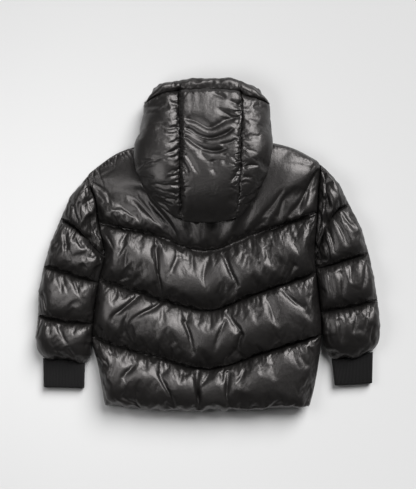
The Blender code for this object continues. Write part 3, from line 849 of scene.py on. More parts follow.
class Graph:
    """The node tree of one material, with a Principled shader."""

    def __init__(self, name: str, colour: Triple) -> None:
        """Start a material.

        Args:
            name: Its name.
            colour: Its colour in a plain view.
        """
        self.material = bpy.data.materials.new(name)
        self.material.use_nodes = True
        self.material.diffuse_color = (*colour, 1.0)
        self.tree = self.material.node_tree
        self.shader = self.tree.nodes["Principled BSDF"]
        self.place = self.node("ShaderNodeTexCoord", output="Object")

    def node(
        self,
        kind: str,
        settings: dict[str, object] | None = None,
        inputs: dict[object, object] | None = None,
        output: object = 0,
    ) -> Value:
        """Add a node.

        Args:
            kind: The node's type.
            settings: Its properties, which are set first.
            inputs: Values or links of its sockets, by name or number.
            output: The socket that is given back.

        Returns:
            The output socket, as a value.
        """
        made = self.tree.nodes.new(kind)
        for key, value in (settings or {}).items():
            setattr(made, key, value)
        for key, value in (inputs or {}).items():
            self.feed(made.inputs[key], value)
        return Value(self, made.outputs[output])

    def feed(self, socket: bpy.types.NodeSocket, value: object) -> None:
        """Link a value to a socket, or set the socket to a constant.

        Args:
            socket: The socket.
            value: What it gets.
        """
        if isinstance(value, Value):
            self.tree.links.new(value.socket, socket)
        else:
            socket.default_value = value

    def set(self, name: str, value: object) -> None:
        """Set or link one of the shader's own sockets."""
        self.feed(self.shader.inputs[name], value)

    def noise(
        self, scale: float, detail: float = 2.0, roughness: float = 0.5, place: Value | None = None
    ) -> Value:
        """A noise over the piece's own place."""
        inputs = {"Vector": place or self.place, "Scale": scale, "Detail": detail, "Roughness": roughness}
        return self.node("ShaderNodeTexNoise", None, inputs)

    def axis(self, name: str) -> Value:
        """One coordinate of the piece's own place."""
        return self.node("ShaderNodeSeparateXYZ", None, {0: self.place}, output=name)

    def squeezed(self, scale: Triple) -> Value:
        """The piece's own place, scaled along each axis."""
        return self.node("ShaderNodeMapping", None, {"Vector": self.place, "Scale": scale}, output="Vector")

    def grey(self, value: Value, low: Sequence[float], high: Sequence[float]) -> Value:
        """A colour between two, mixed by a value.

        Args:
            value: Share of the high colour.
            low, high: The two colours.

        Returns:
            The colour.
        """
        settings = {"data_type": "RGBA"}
        inputs = {"Factor": value, 6: (*low, 1.0), 7: (*high, 1.0)}
        return self.node("ShaderNodeMix", settings, inputs, output=2)

    def bump(self, height: Value, distance: float, strength: float, below: Value | None = None) -> Value:
        """A bumped normal, over another one where below is given.

        Args:
            height: Height of the relief, from 0 to 1.
            distance: Its real height, in metres.
            strength: Share of it that shows.
            below: The normal that it lies on.

        Returns:
            The normal.
        """
        inputs = {"Height": height, "Distance": distance, "Strength": strength}
        if below is not None:
            inputs["Normal"] = below
        return self.node("ShaderNodeBump", None, inputs, output="Normal")


@dataclass(frozen=True)
class PaddedNylon:
    """Black calendered nylon: a close plain weave with a satin gloss and fine crumples."""

    colour: Triple = (0.0058, 0.0054, 0.0052)
    worn: Triple = (0.0090, 0.0083, 0.0080)
    roughness: float = 0.37
    thread: float = 0.00042
    streaks: Triple = (130.0, 38.0, 80.0)

    def make(self) -> Finish:
        """Build the material.

        Returns:
            The material.
        """
        graph = Graph("padded_nylon", self.colour)
        cloudy = graph.noise(38.0, 3.0, 0.55)
        crumple = graph.noise(210.0, 4.0, 0.6)
        streaks = graph.noise(1.0, 2.0, 0.45, place=graph.squeezed(self.streaks))
        turns = 2 * math.pi / self.thread / 2
        warp = (graph.axis("X") * turns).sine()
        weft = (graph.axis("Y") * turns).sine()
        weave = warp * weft
        graph.set("Base Color", graph.grey(cloudy, self.colour, self.worn))
        graph.set("Roughness", cloudy * 0.10 + (self.roughness - 0.05) + crumple * 0.04)
        graph.set("IOR", 1.54)
        graph.set("Specular Tint", (1.0, 0.955, 0.945, 1.0))
        fine = graph.bump(streaks, 0.0012, 0.3, below=graph.bump(crumple, 0.0005, 0.55))
        graph.set("Normal", graph.bump(weave, 0.00004, 0.35, below=fine))
        return graph.material


@dataclass(frozen=True)
class RibKnit:
    """Matt black rib knit, with the small slanted stitches of each rib."""

    colour: Triple = (0.0042, 0.0040, 0.0042)
    fluff: Triple = (0.0075, 0.0072, 0.0075)
    stitch: float = 0.0016

    def make(self) -> Finish:
        """Build the material.

        Returns:
            The material.
        """
        graph = Graph("rib_knit", self.colour)
        turns = 2 * math.pi / self.stitch
        across, along = graph.axis("X"), graph.axis("Y")
        rows = ((along + (across * turns).sine() * (self.stitch * 0.12)) * turns).sine()
        fuzz = graph.noise(900.0, 3.0, 0.6)
        graph.set("Base Color", graph.grey(fuzz, self.colour, self.fluff))
        graph.set("Roughness", 0.86 + fuzz * 0.1)
        graph.set("Specular IOR Level", 0.2)
        graph.set("Sheen Weight", 0.05)
        graph.set("Sheen Roughness", 0.5)
        graph.set("Normal", graph.bump(rows * 0.6 + fuzz * 0.5, 0.0003, 0.6))
        return graph.material


@dataclass(frozen=True)
class ZipTape:
    """Black woven tape of the closed zip, and its moulded chain."""

    colour: Triple = (0.009, 0.009, 0.0095)
    yarn: float = 0.0008

    def make(self) -> Finish:
        """Build the material.

        Returns:
            The material.
        """
        graph = Graph("zip_tape", self.colour)
        turns = 2 * math.pi / self.yarn
        twill = ((graph.axis("X") + graph.axis("Y")) * turns).sine()
        wear = graph.noise(120.0, 2.0)
        graph.set("Base Color", graph.grey(wear, self.colour, (0.016, 0.016, 0.017)))
        graph.set("Roughness", 0.5 + wear * 0.15)
        graph.set("Normal", graph.bump(twill, 0.0001, 0.5))
        return graph.material


@dataclass(frozen=True)
class StudioFloor:
    """The plain pale surface that the jacket lies on."""

    # the floor's colour runs from darkest to palest across it: a painted gradient that cancels the near
    # light's falloff
    darkest: Triple = (0.45, 0.45, 0.45)
    palest: Triple = (0.85, 0.85, 0.85)
    middle: float = 0.40
    slope: Pair = (0.15, -0.05)

    def make(self) -> Finish:
        """Build the material, painted a little paler away from the near light: a painted gradient that evens
        out the light's falloff over the floor.

        Returns:
            The material.
        """
        graph = Graph("studio_floor", self.darkest)
        # painted counter-shade: the floor's colour is darker near the near light and paler away from it, to
        # cancel the light's falloff
        painted_counter_shade = graph.axis("X") * self.slope[0] + graph.axis("Y") * self.slope[1] + self.middle
        graph.set("Base Color", graph.grey(painted_counter_shade, self.darkest, self.palest))
        graph.set("Roughness", 0.95)
        graph.set("Specular IOR Level", 0.0)
        return graph.material


# ---------------------------------------------------------------- the jacket's cut


@dataclass(frozen=True)
class QuiltSeam:
    """A chevron quilting seam of the back: its height at each side, halfway and at its point."""

    left_y: float
    left_mid: Pair
    point: Pair
    right_mid: Pair
    right_y: float

    def line(self, left_x: float, right_x: float) -> Curve:
        """The seam from the left side to the right."""
        ends = (left_x, self.left_y), (right_x, self.right_y)
        return smooth_line((ends[0], self.left_mid, self.point, self.right_mid, ends[1]))


@dataclass(frozen=True)
class BayGrid:
    """Points over a quilted piece, bay after bay between its seams."""

    xy: Array
    bay: Array
    share: Array
    length: Array
    across: Array

    @property
    def x(self) -> Array:
        """x of each point."""
        return self.xy[..., 0]

    @property
    def y(self) -> Array:
        """y of each point."""
        return self.xy[..., 1]

    @property
    def width(self) -> Array:
        """Width of the piece at each row."""
        return np.linalg.norm(self.xy[:, -1] - self.xy[:, 0], axis=-1)[:, None]

    @property
    def from_side(self) -> Array:
        """Distance of each point from the nearer side."""
        return np.minimum(self.across, 1 - self.across)[None] * self.width

    @property
    def seam_rows(self) -> Array:
        """Whether each row lies on a seam or an end."""
        return (self.share == 0) | (self.share == 1)


def crowded(count: int, towards_ends: float = 0.4) -> Array:
    """Shares from 0 to 1 that lie closer together towards both ends."""
    even = np.linspace(0, 1, count)
    return (1 - towards_ends) * even + towards_ends * (1 - np.cos(np.pi * even)) / 2


def bay_grid(
    lines: Sequence[Curve], left: Sequence[Curve], right: Sequence[Curve], across: Array, rows: int
) -> BayGrid:
    """Lay points over every bay of a quilted piece.

    Args:
        lines: The seams and ends across the piece, in order.
        left, right: The stretches of its sides, one for each bay.
        across: Shares of the way across.
        rows: Rows in a bay.

    Returns:
        The grid.
    """
    down = crowded(rows + 1)
    parts, bays, shares, lengths = [], [], [], []
    for bay in range(len(lines) - 1):
        here = down if bay == len(lines) - 2 else down[:-1]
        parts.append(patch(lines[bay], lines[bay + 1], left[bay], right[bay], across, here))
        ends = patch(lines[bay], lines[bay + 1], left[bay], right[bay], across, np.array([0.0, 1.0]))
        length = np.linalg.norm(ends[1] - ends[0], axis=-1)
        lengths.append(np.repeat(length[None], len(here), axis=0))
        bays.append(np.full(len(here), bay))
        shares.append(here)
    return BayGrid(np.vstack(parts), np.concatenate(bays), np.concatenate(shares), np.vstack(lengths), across)


@dataclass(frozen=True)
class JacketCut:
    """The flat outline of the body and its quilting, which its pieces share."""

    top: Points = (
        (-246, 138), (-172, 188), (-90, 203), (-6, 186), (78, 207), (164, 196), (228, 164),
    )
    hem: Points = ((-208, -321), (-102, -331), (-20, -332), (102, -329), (205, -323))
    left_side: Points = (
        (138, -246), (94, -227), (42, -219), (-18, -207), (-72, -219), (-160, -230), (-196, -232),
        (-234, -222), (-321, -208),
    )
    right_side: Points = (
        (164, 228), (108, 221), (56, 219), (-18, 214), (-97, 222), (-180, 228), (-234, 222),
        (-282, 214), (-323, 205),
    )
    quilting: tuple[QuiltSeam, ...] = (
        QuiltSeam(45, (-112, 20), (-10, -12), (108, 26), 64),
        QuiltSeam(-68, (-118, -100), (4, -128), (104, -95), -56),
        QuiltSeam(-184, (-114, -221), (4, -247), (112, -216), -179),
    )
    seam_gap: float = 0.1

    def side(self, side: Side) -> Curve:
        """x of one side at heights y."""
        return side_line(self.left_side if side is Side.LEFT else self.right_side)

    def lines(self) -> list[Curve]:
        """The top edge, the quilting seams and the hem.

        Returns:
            Lines as functions of the share walked.
        """
        left, right = self.side(Side.LEFT), self.side(Side.RIGHT)
        seams = [seam.line(float(left(seam.left_y)), float(right(seam.right_y))) for seam in self.quilting]
        return [smooth_line(self.top), *seams, smooth_line(self.hem)]

    def stretches(self, side: Side) -> list[Curve]:
        """The stretches of one side, one for each bay.

        Args:
            side: Which side.

        Returns:
            The stretches, from the top down.
        """
        edges = self.left_side if side is Side.LEFT else self.right_side
        heights = [seam.left_y if side is Side.LEFT else seam.right_y for seam in self.quilting]
        stops = [edges[0][0], *heights, edges[-1][0]]
        line = self.side(side)
        return [stretch(line, *pair) for pair in zip(stops, stops[1:])]

    def grid(self, across: Array, rows: int) -> BayGrid:
        """Points over the whole body."""
        return bay_grid(self.lines(), self.stretches(Side.LEFT), self.stretches(Side.RIGHT), across, rows)

    def armhole(self, side: Side) -> Curve:
        """x of the seam that a sleeve is sewn to, or lies against, at heights y."""
        ends = self.grid(np.array([0.0, 1.0]), 40).xy[:, 0 if side is Side.LEFT else 1]
        return lambda y: np.interp(y, ends[::-1, 1], ends[::-1, 0] + side.value * self.seam_gap)


@dataclass(frozen=True)
class HoodCut:
    """The hood's outline from above and its heights, from its low end to its mouth."""

    levels: tuple[float, ...] = (52, 60, 73, 92, 114, 142, 172, 190, 200, 210, 222, 240, 262, 274, 280)
    left: tuple[float, ...] = (
        -61, -74, -91, -110, -126, -140, -146, -146, -146, -144, -140, -135, -130, -129, -129,
    )
    right: tuple[float, ...] = (56, 66, 77, 91, 104, 117, 124, 128, 129, 129, 128, 127, 125, 124, 124)
    crown: tuple[float, ...] = (80, 88, 95, 101, 105, 106, 104, 102, 100, 98, 94, 88, 79, 73, 69)
    widest: tuple[float, ...] = (68, 69, 69, 69, 69, 69, 68, 66, 62, 54, 45, 39, 34, 31, 30)
    low_edge: Points = (
        (-61, 52), (-48, 47.5), (-26, 44.8), (-4, 44), (20, 45), (42, 48.5), (56, 54),
    )
    beyond_mouth: float = 120.0
    rounding: float = 15.0

    def at(self, column: str, y: Array) -> Array:
        """One of the tables' columns at heights y; the two with heights are rounded at their levels."""
        steps = np.linspace(-self.rounding, self.rounding, 9) if column in ("crown", "widest") else (0.0,)
        return np.mean([np.interp(y + step, self.levels, getattr(self, column)) for step in steps], axis=0)

    def outline(self) -> list[Pair]:
        """The outline from above, carried on past the mouth.

        Returns:
            Its corners, in order.
        """
        left = list(zip(self.left, self.levels))
        right = list(zip(self.right, self.levels))[::-1]
        far = self.levels[-1] + self.beyond_mouth
        return [*left, (left[-1][0], far), (right[0][0], far), *right, *self.low_edge[::-1][1:-1]]


# ---------------------------------------------------------------- the jacket's pieces


@dataclass
class Back:
    """The quilted back: four baffles between chevron seams, pressed down under the hood."""

    cut: JacketCut
    hood: HoodCut
    columns: int = 160
    rows: int = 38
    plane: float = 22.4
    seam: float = 5.5
    edge: float = 2.5
    loft: float = 30.0
    edge_roll: float = 30.0
    under_hood: float = 44.0
    hood_reach: Pair = (-58.0, 6.0)
    calm_yoke: float = 1.0
    flat_right: float = 0.3
    fullness: float = 2.0
    crown: float = 1.12
    full_right: tuple[float, ...] = (2.0, 0.4, 3.2, 3.8)
    right_from: float = 60.0
    flat_over: float = 130.0
    full_over: float = 110.0
    full_length: float = 70.0
    yoke_crown: Pair = (1.3, 2.8)
    yoke_from: float = -70.0
    yoke_over: float = 80.0
    low_puckers: Pair = (0.4, 0.8)
    calm_right: float = 0.4
    calm_from: float = 30.0
    calm_over: float = 150.0
    notch: float = 2.4
    sleeve_ends: float = -236.0
    thinnest: float = 0.8
    stitch_depth: float = 4.0
    slack: Slack = Slack()
    waver: Pair = (1.1, 0.9)
    hem_waver: float = 2.4
    hem_pitch: float = 15.0
    hem_reach: float = 14.0
    corner: Pair = (5.0, 14.0)
    filling: Filling = Filling(gathered=(0.05, 0.02), spare=0.17)
    puckers: Puckers = Puckers()
    fine: tuple[Puckers, Puckers] = (
        Puckers(pitch=4.6, depth=(0.5, 1.7), reach=(9, 46), width=(1.1, 2.4), slant=0.38),
        Puckers(pitch=6.0, depth=(0.3, 1.1), reach=(6, 24), width=(1.1, 2.2), slant=0.38),
    )
    creases: tuple[Crease, ...] = creases_of(
        (-106, 2, -94, -88, 9, 4.2), (-112, -6, -106, -36, 4, 3.2), (26, -12, 60, -86, 9, 4.2),
        (12, -12, 37, -22, 4, 3.5), (-5, -26, -10, -76, 3.5, 6), (-62, -18, -70, -58, 3.5, 5),
        (173, -36, 151, -84, 5, 5), (118, -4, 112, -40, 3.5, 5), (-160, -10, -168, -50, 3, 6),
        (-134, -98, -194, -146, 9, 4.6), (-88, -110, -156, -155, 9, 4.2), (-46, -146, -32, -203, 8, 5),
        (33, -146, 6, -222, 6, 5), (32, -130, 65, -172, 6, 5), (65, -172, 56, -214, 5, 5),
        (146, -89, 192, -130, 6.5, 3.6), (56, -206, 24, -238, 5, 5), (118, -104, 132, -158, 4, 7),
        (-22, -247, -20, -334, 15, 4.2), (4, -254, -20, -284, 6, 3.8), (38, -250, 39, -315, 9, 6),
        (-97, -248, -64, -327, 7, 5), (-172, -296, -124, -332, 5, 5), (-150, -238, -167, -262, 5, 4.5),
        (209, -286, 194, -327, 5, 5), (74, -244, 53, -282, 5, 5), (146, -305, 118, -330, 4, 5),
        (-52, -250, -58, -272, 4.5, 4), (24, -252, 30, -272, 5, 3.6), (-240, 131, -196, 98, 6, 7),
        (-206, 106, -188, 62, 5, 6), (-150, 96, -96, 40, 5, 6), (-178, 84, -130, 38, 4, 6),
        (-114, 87, -53, 11, 8, 7, -3), (-98, 74, -64, 32, 4, 3.5), (228, 160, 206, 76, 7, 6),
        (136, 50, 158, 104, 6, 5), (150, 110, 98, 40, 4, 6), (200, 110, 168, 58, 4, 6),
        (112, 44, 66, 10, 5, 5), (-214, 34, -178, -16, 7, 5), (-196, -80, -150, -62, 4, 6),
        (222, 154, 176, 62, 7.5, 6), (212, 142, 190, 66, 5.5, 5), (222, 160, 130, 182, 2.6, 4),
        (216, 152, 140, 168, 3.0, 5), (-238, 134, -150, 182, 2.6, 4), (-236, 128, -160, 164, 3.0, 5),
        (-230, 118, -212, 70, 5, 4.6),
    )

    def height(self, grid: BayGrid, rng: Random) -> Array:
        """Height of the cloth over its filling, before it is blown up.

        Args:
            grid: The points.
            rng: The source of the pleats' sizes.

        Returns:
            A height for each point.
        """
        share = grid.share[:, None]
        last = len(self.cut.quilting)
        outer_end = np.where(grid.bay == 0, 1 - grid.share, np.where(grid.bay == last, grid.share, 0.0))
        foot = (self.seam + (self.edge - self.seam) * ease(outer_end))[:, None]
        right = grid.x - self.right_from
        flatter = 1 - self.flat_right * ease(right / self.flat_over) * (grid.bay > 1)[:, None]
        least, most = self.yoke_crown
        crown = least + (most - least) * ease((self.yoke_from - grid.x) / self.yoke_over)
        crowned = share ** np.where(grid.bay[:, None] == 0, crown, self.crown)
        fullness = self.fullness + np.array(self.full_right)[grid.bay][:, None] * ease(right / self.full_over)
        filled = self.loft * bulge(crowned, fullness) * np.minimum(1.0, grid.length / self.full_length)
        wall = foot + filled * flatter
        for bay in range(last + 1):
            rows = grid.bay == bay
            along, length = grid.x[rows], grid.length[rows]
            away = share[rows] * length
            calm = self.gathering(grid)[rows]
            if bay > 0:
                wall[rows] -= calm * self.puckers.drawn(along - grid.x.min(), away, np.ptp(grid.x), rng)
            if bay < last:
                low = self.puckers.drawn(along - grid.x.min(), length - away, np.ptp(grid.x), rng)
                wall[rows] -= self.low_puckers[min(bay, 1)] * calm * low
        wall -= creased(self.creases, grid.x, grid.y) * np.maximum(bulge(share), 0.25)
        wall = np.maximum(wall, foot * 0.6)
        wall[grid.seam_rows & ~((grid.bay == 0) & (grid.share == 0))] -= self.stitch_depth
        top = self.plane + np.maximum(wall, self.thinnest) * roll(grid.from_side, self.edge_roll)
        start, end = self.hood_reach
        pressed = ease((depth_inside(self.hood.outline(), grid.x, grid.y) - start) / (end - start))
        return top + (np.minimum(top, self.under_hood) - top) * pressed

    def gathering(self, grid: BayGrid) -> Array:
        """Share of the gathering at each point: little in the yoke, and less towards the right.

        Args:
            grid: The points.

        Returns:
            Shares from 0 to 1.
        """
        near_seam = np.where(grid.bay == 0, ease((grid.share - 0.45) / 0.5), 1.0)[:, None]
        towards_right = ease((grid.x - self.calm_from) / self.calm_over)
        return (1 - self.calm_yoke * (1 - near_seam)) * (1 - self.calm_right * towards_right)

    def build(self, finish: Finish) -> None:
        """Blow up the back and close it over its flat inner face.

        Args:
            finish: Its material.
        """
        grid = self.cut.grid(crowded(self.columns, 0.3), self.rows)
        rng = np.random.default_rng(SEED)
        points = np.dstack([grid.xy, self.height(grid, rng)])
        inside = ease(grid.from_side / 12)
        for axis, amount in enumerate(self.waver, start=1):
            points[..., axis] += waver(grid, amount, rng) * inside
        from_hem = np.where(grid.bay == len(self.cut.quilting), 1 - grid.share, FAR)[:, None] * grid.length
        hem = self.hem_waver * wander(grid.x[-1], self.hem_pitch, rng)
        points[..., 1] += hem * np.exp(-((from_hem / self.hem_reach) ** 2)) * inside
        for column, side in ((0, Side.LEFT), (-1, Side.RIGHT)):
            away = np.linalg.norm(grid.xy - grid.xy[0, column], axis=-1)
            taken = self.corner[0] * (1 - np.clip(away / self.corner[1], 0, 1)) ** 2
            points[..., 0] -= side.value * 0.6 * taken
            points[..., 1] -= 0.8 * taken
        dent = self.notch * (1 - bulge(grid.share)) * (grid.xy[:, 0, 1] < self.sleeve_ends)
        for column, inwards in ((0, 1), (-1, -1)):
            points[:, column, 0] += inwards * dent
        piece = mesh_piece("back_quilting", points, grid_faces(*points.shape[:2]))
        held = np.zeros(points.shape[:2])
        held[grid.seam_rows] = held[:, [0, -1]] = 1.0
        gathering = self.gathering(grid)
        slack = (gathering * self.slack.share(grid, rng)).ravel()
        self.filling.inflate(piece, held.ravel(), points.shape[:2], SEED, gathering, slack)
        self.keep_inside(piece, points)
        pucker_finely(piece, beside_seams(grid), self.fine, 2 * len(self.cut.quilting) + 2, rng)
        close_onto_plane(piece, self.plane)
        dress(piece, finish)
        register(piece, Slot.NYLON, "back")

    def keep_inside(self, piece: Piece, start: Array) -> None:
        """Keep the blown-up cloth inside its sides, over its inner face and under the hood.

        Args:
            piece: The back.
            start: Its points before it was blown up.
        """
        points = points_of(piece).reshape(start.shape)
        near = np.minimum(points[..., 0] - start[:, :1, 0], start[:, -1:, 0] - points[..., 0])
        points[..., 0] += np.where(near < 0, np.where(points[..., 0] < 0, -near, near), 0.0)
        pressed = depth_inside(self.hood.outline(), points[..., 0], points[..., 1]) > self.hood_reach[1]
        points[..., 2] = np.where(pressed, np.minimum(points[..., 2], self.under_hood), points[..., 2])
        points[..., 2] = np.maximum(points[..., 2], self.plane + self.thinnest)
        set_points(piece, points.reshape(-1, 3))


def part_of(line: Curve, start: float, end: float) -> Curve:
    """The part of a line between two shares of its length."""
    return lambda share: line(start + (end - start) * np.asarray(share, float))


def share_at(line: Curve, x: float) -> float:
    """The share of an edge's length where it crosses x."""
    shares = np.linspace(0, 1, 400)
    return float(np.interp(x, line(shares)[:, 0], shares))


@dataclass
class Front:
    """One padded front under the back, quilted to match it and pressed flat where it rests."""

    side: Side
    cut: JacketCut
    columns: int = 44
    rows: int = 12
    plane: float = 22.0
    edge_roll: float = 15.0
    zip_x: float = -4.0
    zip_half: float = 4.9
    valley: float = 5.0
    inset: float = 4.5
    inset_reach: float = 15.0
    thinnest: float = 0.6
    puckers: Puckers = Puckers(pitch=12, depth=(0.4, 1.6), reach=(8, 26))

    def grid(self) -> BayGrid:
        """Points from the side to the zip.

        Returns:
            The grid.
        """
        stop = self.zip_x + self.side.value * self.zip_half
        from_end = 0.0 if self.side is Side.LEFT else 1.0
        lines = [part_of(line, from_end, share_at(line, stop)) for line in self.cut.lines()]
        beside_zip = [line(np.array([1.0]))[0] for line in lines]
        straights = [
            lambda share, a=a, b=b: a + (b - a) * np.asarray(share, float)[..., None]
            for a, b in zip(beside_zip, beside_zip[1:])
        ]
        return bay_grid(lines, self.cut.stretches(self.side), straights, crowded(self.columns), self.rows)

    def build(self, finish: Finish) -> None:
        """Shape the front and close it at its inner face.

        Args:
            finish: Its material.
        """
        grid = self.grid()
        rng = np.random.default_rng(SEED + 3 + self.side.value)
        top, bottom = grid.y.max(axis=0), grid.y.min(axis=0)
        from_end = np.minimum(top[None] - grid.y, grid.y - bottom[None])
        from_side = grid.across[None] * grid.width
        lift = roll(np.minimum(from_side, np.maximum(from_end, 0)), self.edge_roll)
        share = grid.share[:, None]
        groove = self.valley * (1 - bulge(share, 0.3)) * np.ones(grid.x.shape)
        for bay in range(len(self.cut.quilting) + 1):
            rows = grid.bay == bay
            for away in (share[rows] * grid.length[rows], (1 - share[rows]) * grid.length[rows]):
                along = grid.x[rows] - grid.x.min()
                groove[rows] = groove[rows] + self.puckers.drawn(along, away, np.ptp(grid.x), rng)
        height = np.minimum(self.plane * (1 - lift) + groove * lift, self.plane - self.thinnest)
        points = np.dstack([grid.xy, height])
        points[..., 0] -= self.side.value * self.inset * np.exp(-((from_side / self.inset_reach) ** 2))
        for sign, away in ((-1, top[None] - grid.y), (1, grid.y - bottom[None])):
            points[..., 1] += sign * self.inset * np.exp(-((away / self.inset_reach) ** 2))
        piece = mesh_piece(f"front_{self.side.word}_panel", points, grid_faces(*grid.x.shape))
        subdivide_once(piece)
        close_onto_plane(piece, self.plane)
        dress(piece, finish)
        register(piece, Slot.NYLON, f"front_{self.side.word}")


@dataclass(frozen=True)
class SleeveCut:
    """A sleeve's outer edge, its quilting seams and its end, from the armhole to the cuff."""

    outer: Points
    rings: tuple[tuple[float, float, float, float], ...]
    end: Points
    cuff_end: tuple[Pair, Pair]
    creases: tuple[Crease, ...]


SLEEVE_CUTS = {
    Side.LEFT: SleeveCut(
        outer=(
            (138, -246), (102, -274), (54, -299), (6, -317), (-42, -333), (-90, -341), (-142, -345),
            (-190, -347), (-214, -344), (-227, -334),
        ),
        rings=(
            (54, -268, 37, -27), (-42, -270, -60, -76), (-142, -300, -152, -158), (-227, -290, -232, -238),
        ),
        end=((-196, -233.2), (-222, -235), (-238, -246)),
        cuff_end=((-331, -285), (-249, -287)),
        creases=creases_of(
            (-228, 112, -212, 44, 6, 6), (-275, 92, -284, 54, 4.5, 4), (-256, 86, -250, 44, 5.5, 4),
            (-240, 96, -226, 20, 6, 5), (-268, 78, -254, 34, 4.5, 4), (-234, 62, -214, -24, 7, 4.6),
            (-288, 26, -276, -40, 7.5, 4.6), (-283, 2, -262, -42, 5, 5), (-300, 10, -304, -38, 4, 6),
            (-240, 16, -219, -24, 6.5, 4), (-262, 18, -246, -12, 5, 4), (-302, -56, -285, -102, 7, 4.6),
            (-292, -56, -276, -106, 6, 4.2), (-276, -58, -248, -114, 7, 4.2), (-318, -50, -312, -76, 5, 4),
            (-256, -62, -250, -92, 5, 4), (-332, -94, -315, -145, 6.5, 4.4), (-338, -106, -330, -140, 4, 4),
            (-336, -152, -342, -190, 4.5, 4.4), (-320, -154, -311, -186, 5, 4),
            (-300, -160, -275, -206, 5.5, 5), (-304, -204, -283, -230, 6.5, 4),
            (-279, -202, -268, -228, 6, 4), (-238, -176, -248, -214, 5, 5),
        ),
    ),
    Side.RIGHT: SleeveCut(
        outer=(
            (164, 228), (126, 262), (82, 287), (30, 311), (-16, 326), (-66, 335), (-111, 344), (-162, 347),
            (-198, 344), (-214, 334),
        ),
        rings=((82, 261, 70, -27), (-16, 277, -30, -47), (-111, 283, -124, -135), (-214, 290, -228, -228)),
        end=((-180, 229.2), (-206, 233), (-228, 247)),
        cuff_end=((331, -277), (255, -282)),
        creases=creases_of(
            (228, 150, 240, 60, 7, 5), (236, 130, 264, 78, 5, 5), (230, 96, 232, 20, 6, 5),
            (250, 60, 282, -10, 6.5, 4.6), (236, 50, 252, -24, 6, 4.6), (268, 66, 300, 14, 5, 4.6),
            (232, 10, 244, -36, 5, 4), (318, -30, 302, -100, 6, 5), (264, -52, 272, -112, 5.5, 4.6),
            (286, -38, 282, -84, 5, 4), (240, -56, 250, -110, 5, 5), (322, -122, 308, -176, 6, 4.6),
            (258, -146, 272, -208, 6, 4.6), (296, -136, 288, -186, 5, 5), (330, -160, 318, -208, 5, 4),
            (240, -150, 244, -200, 4, 5),
        ),
    ),
}


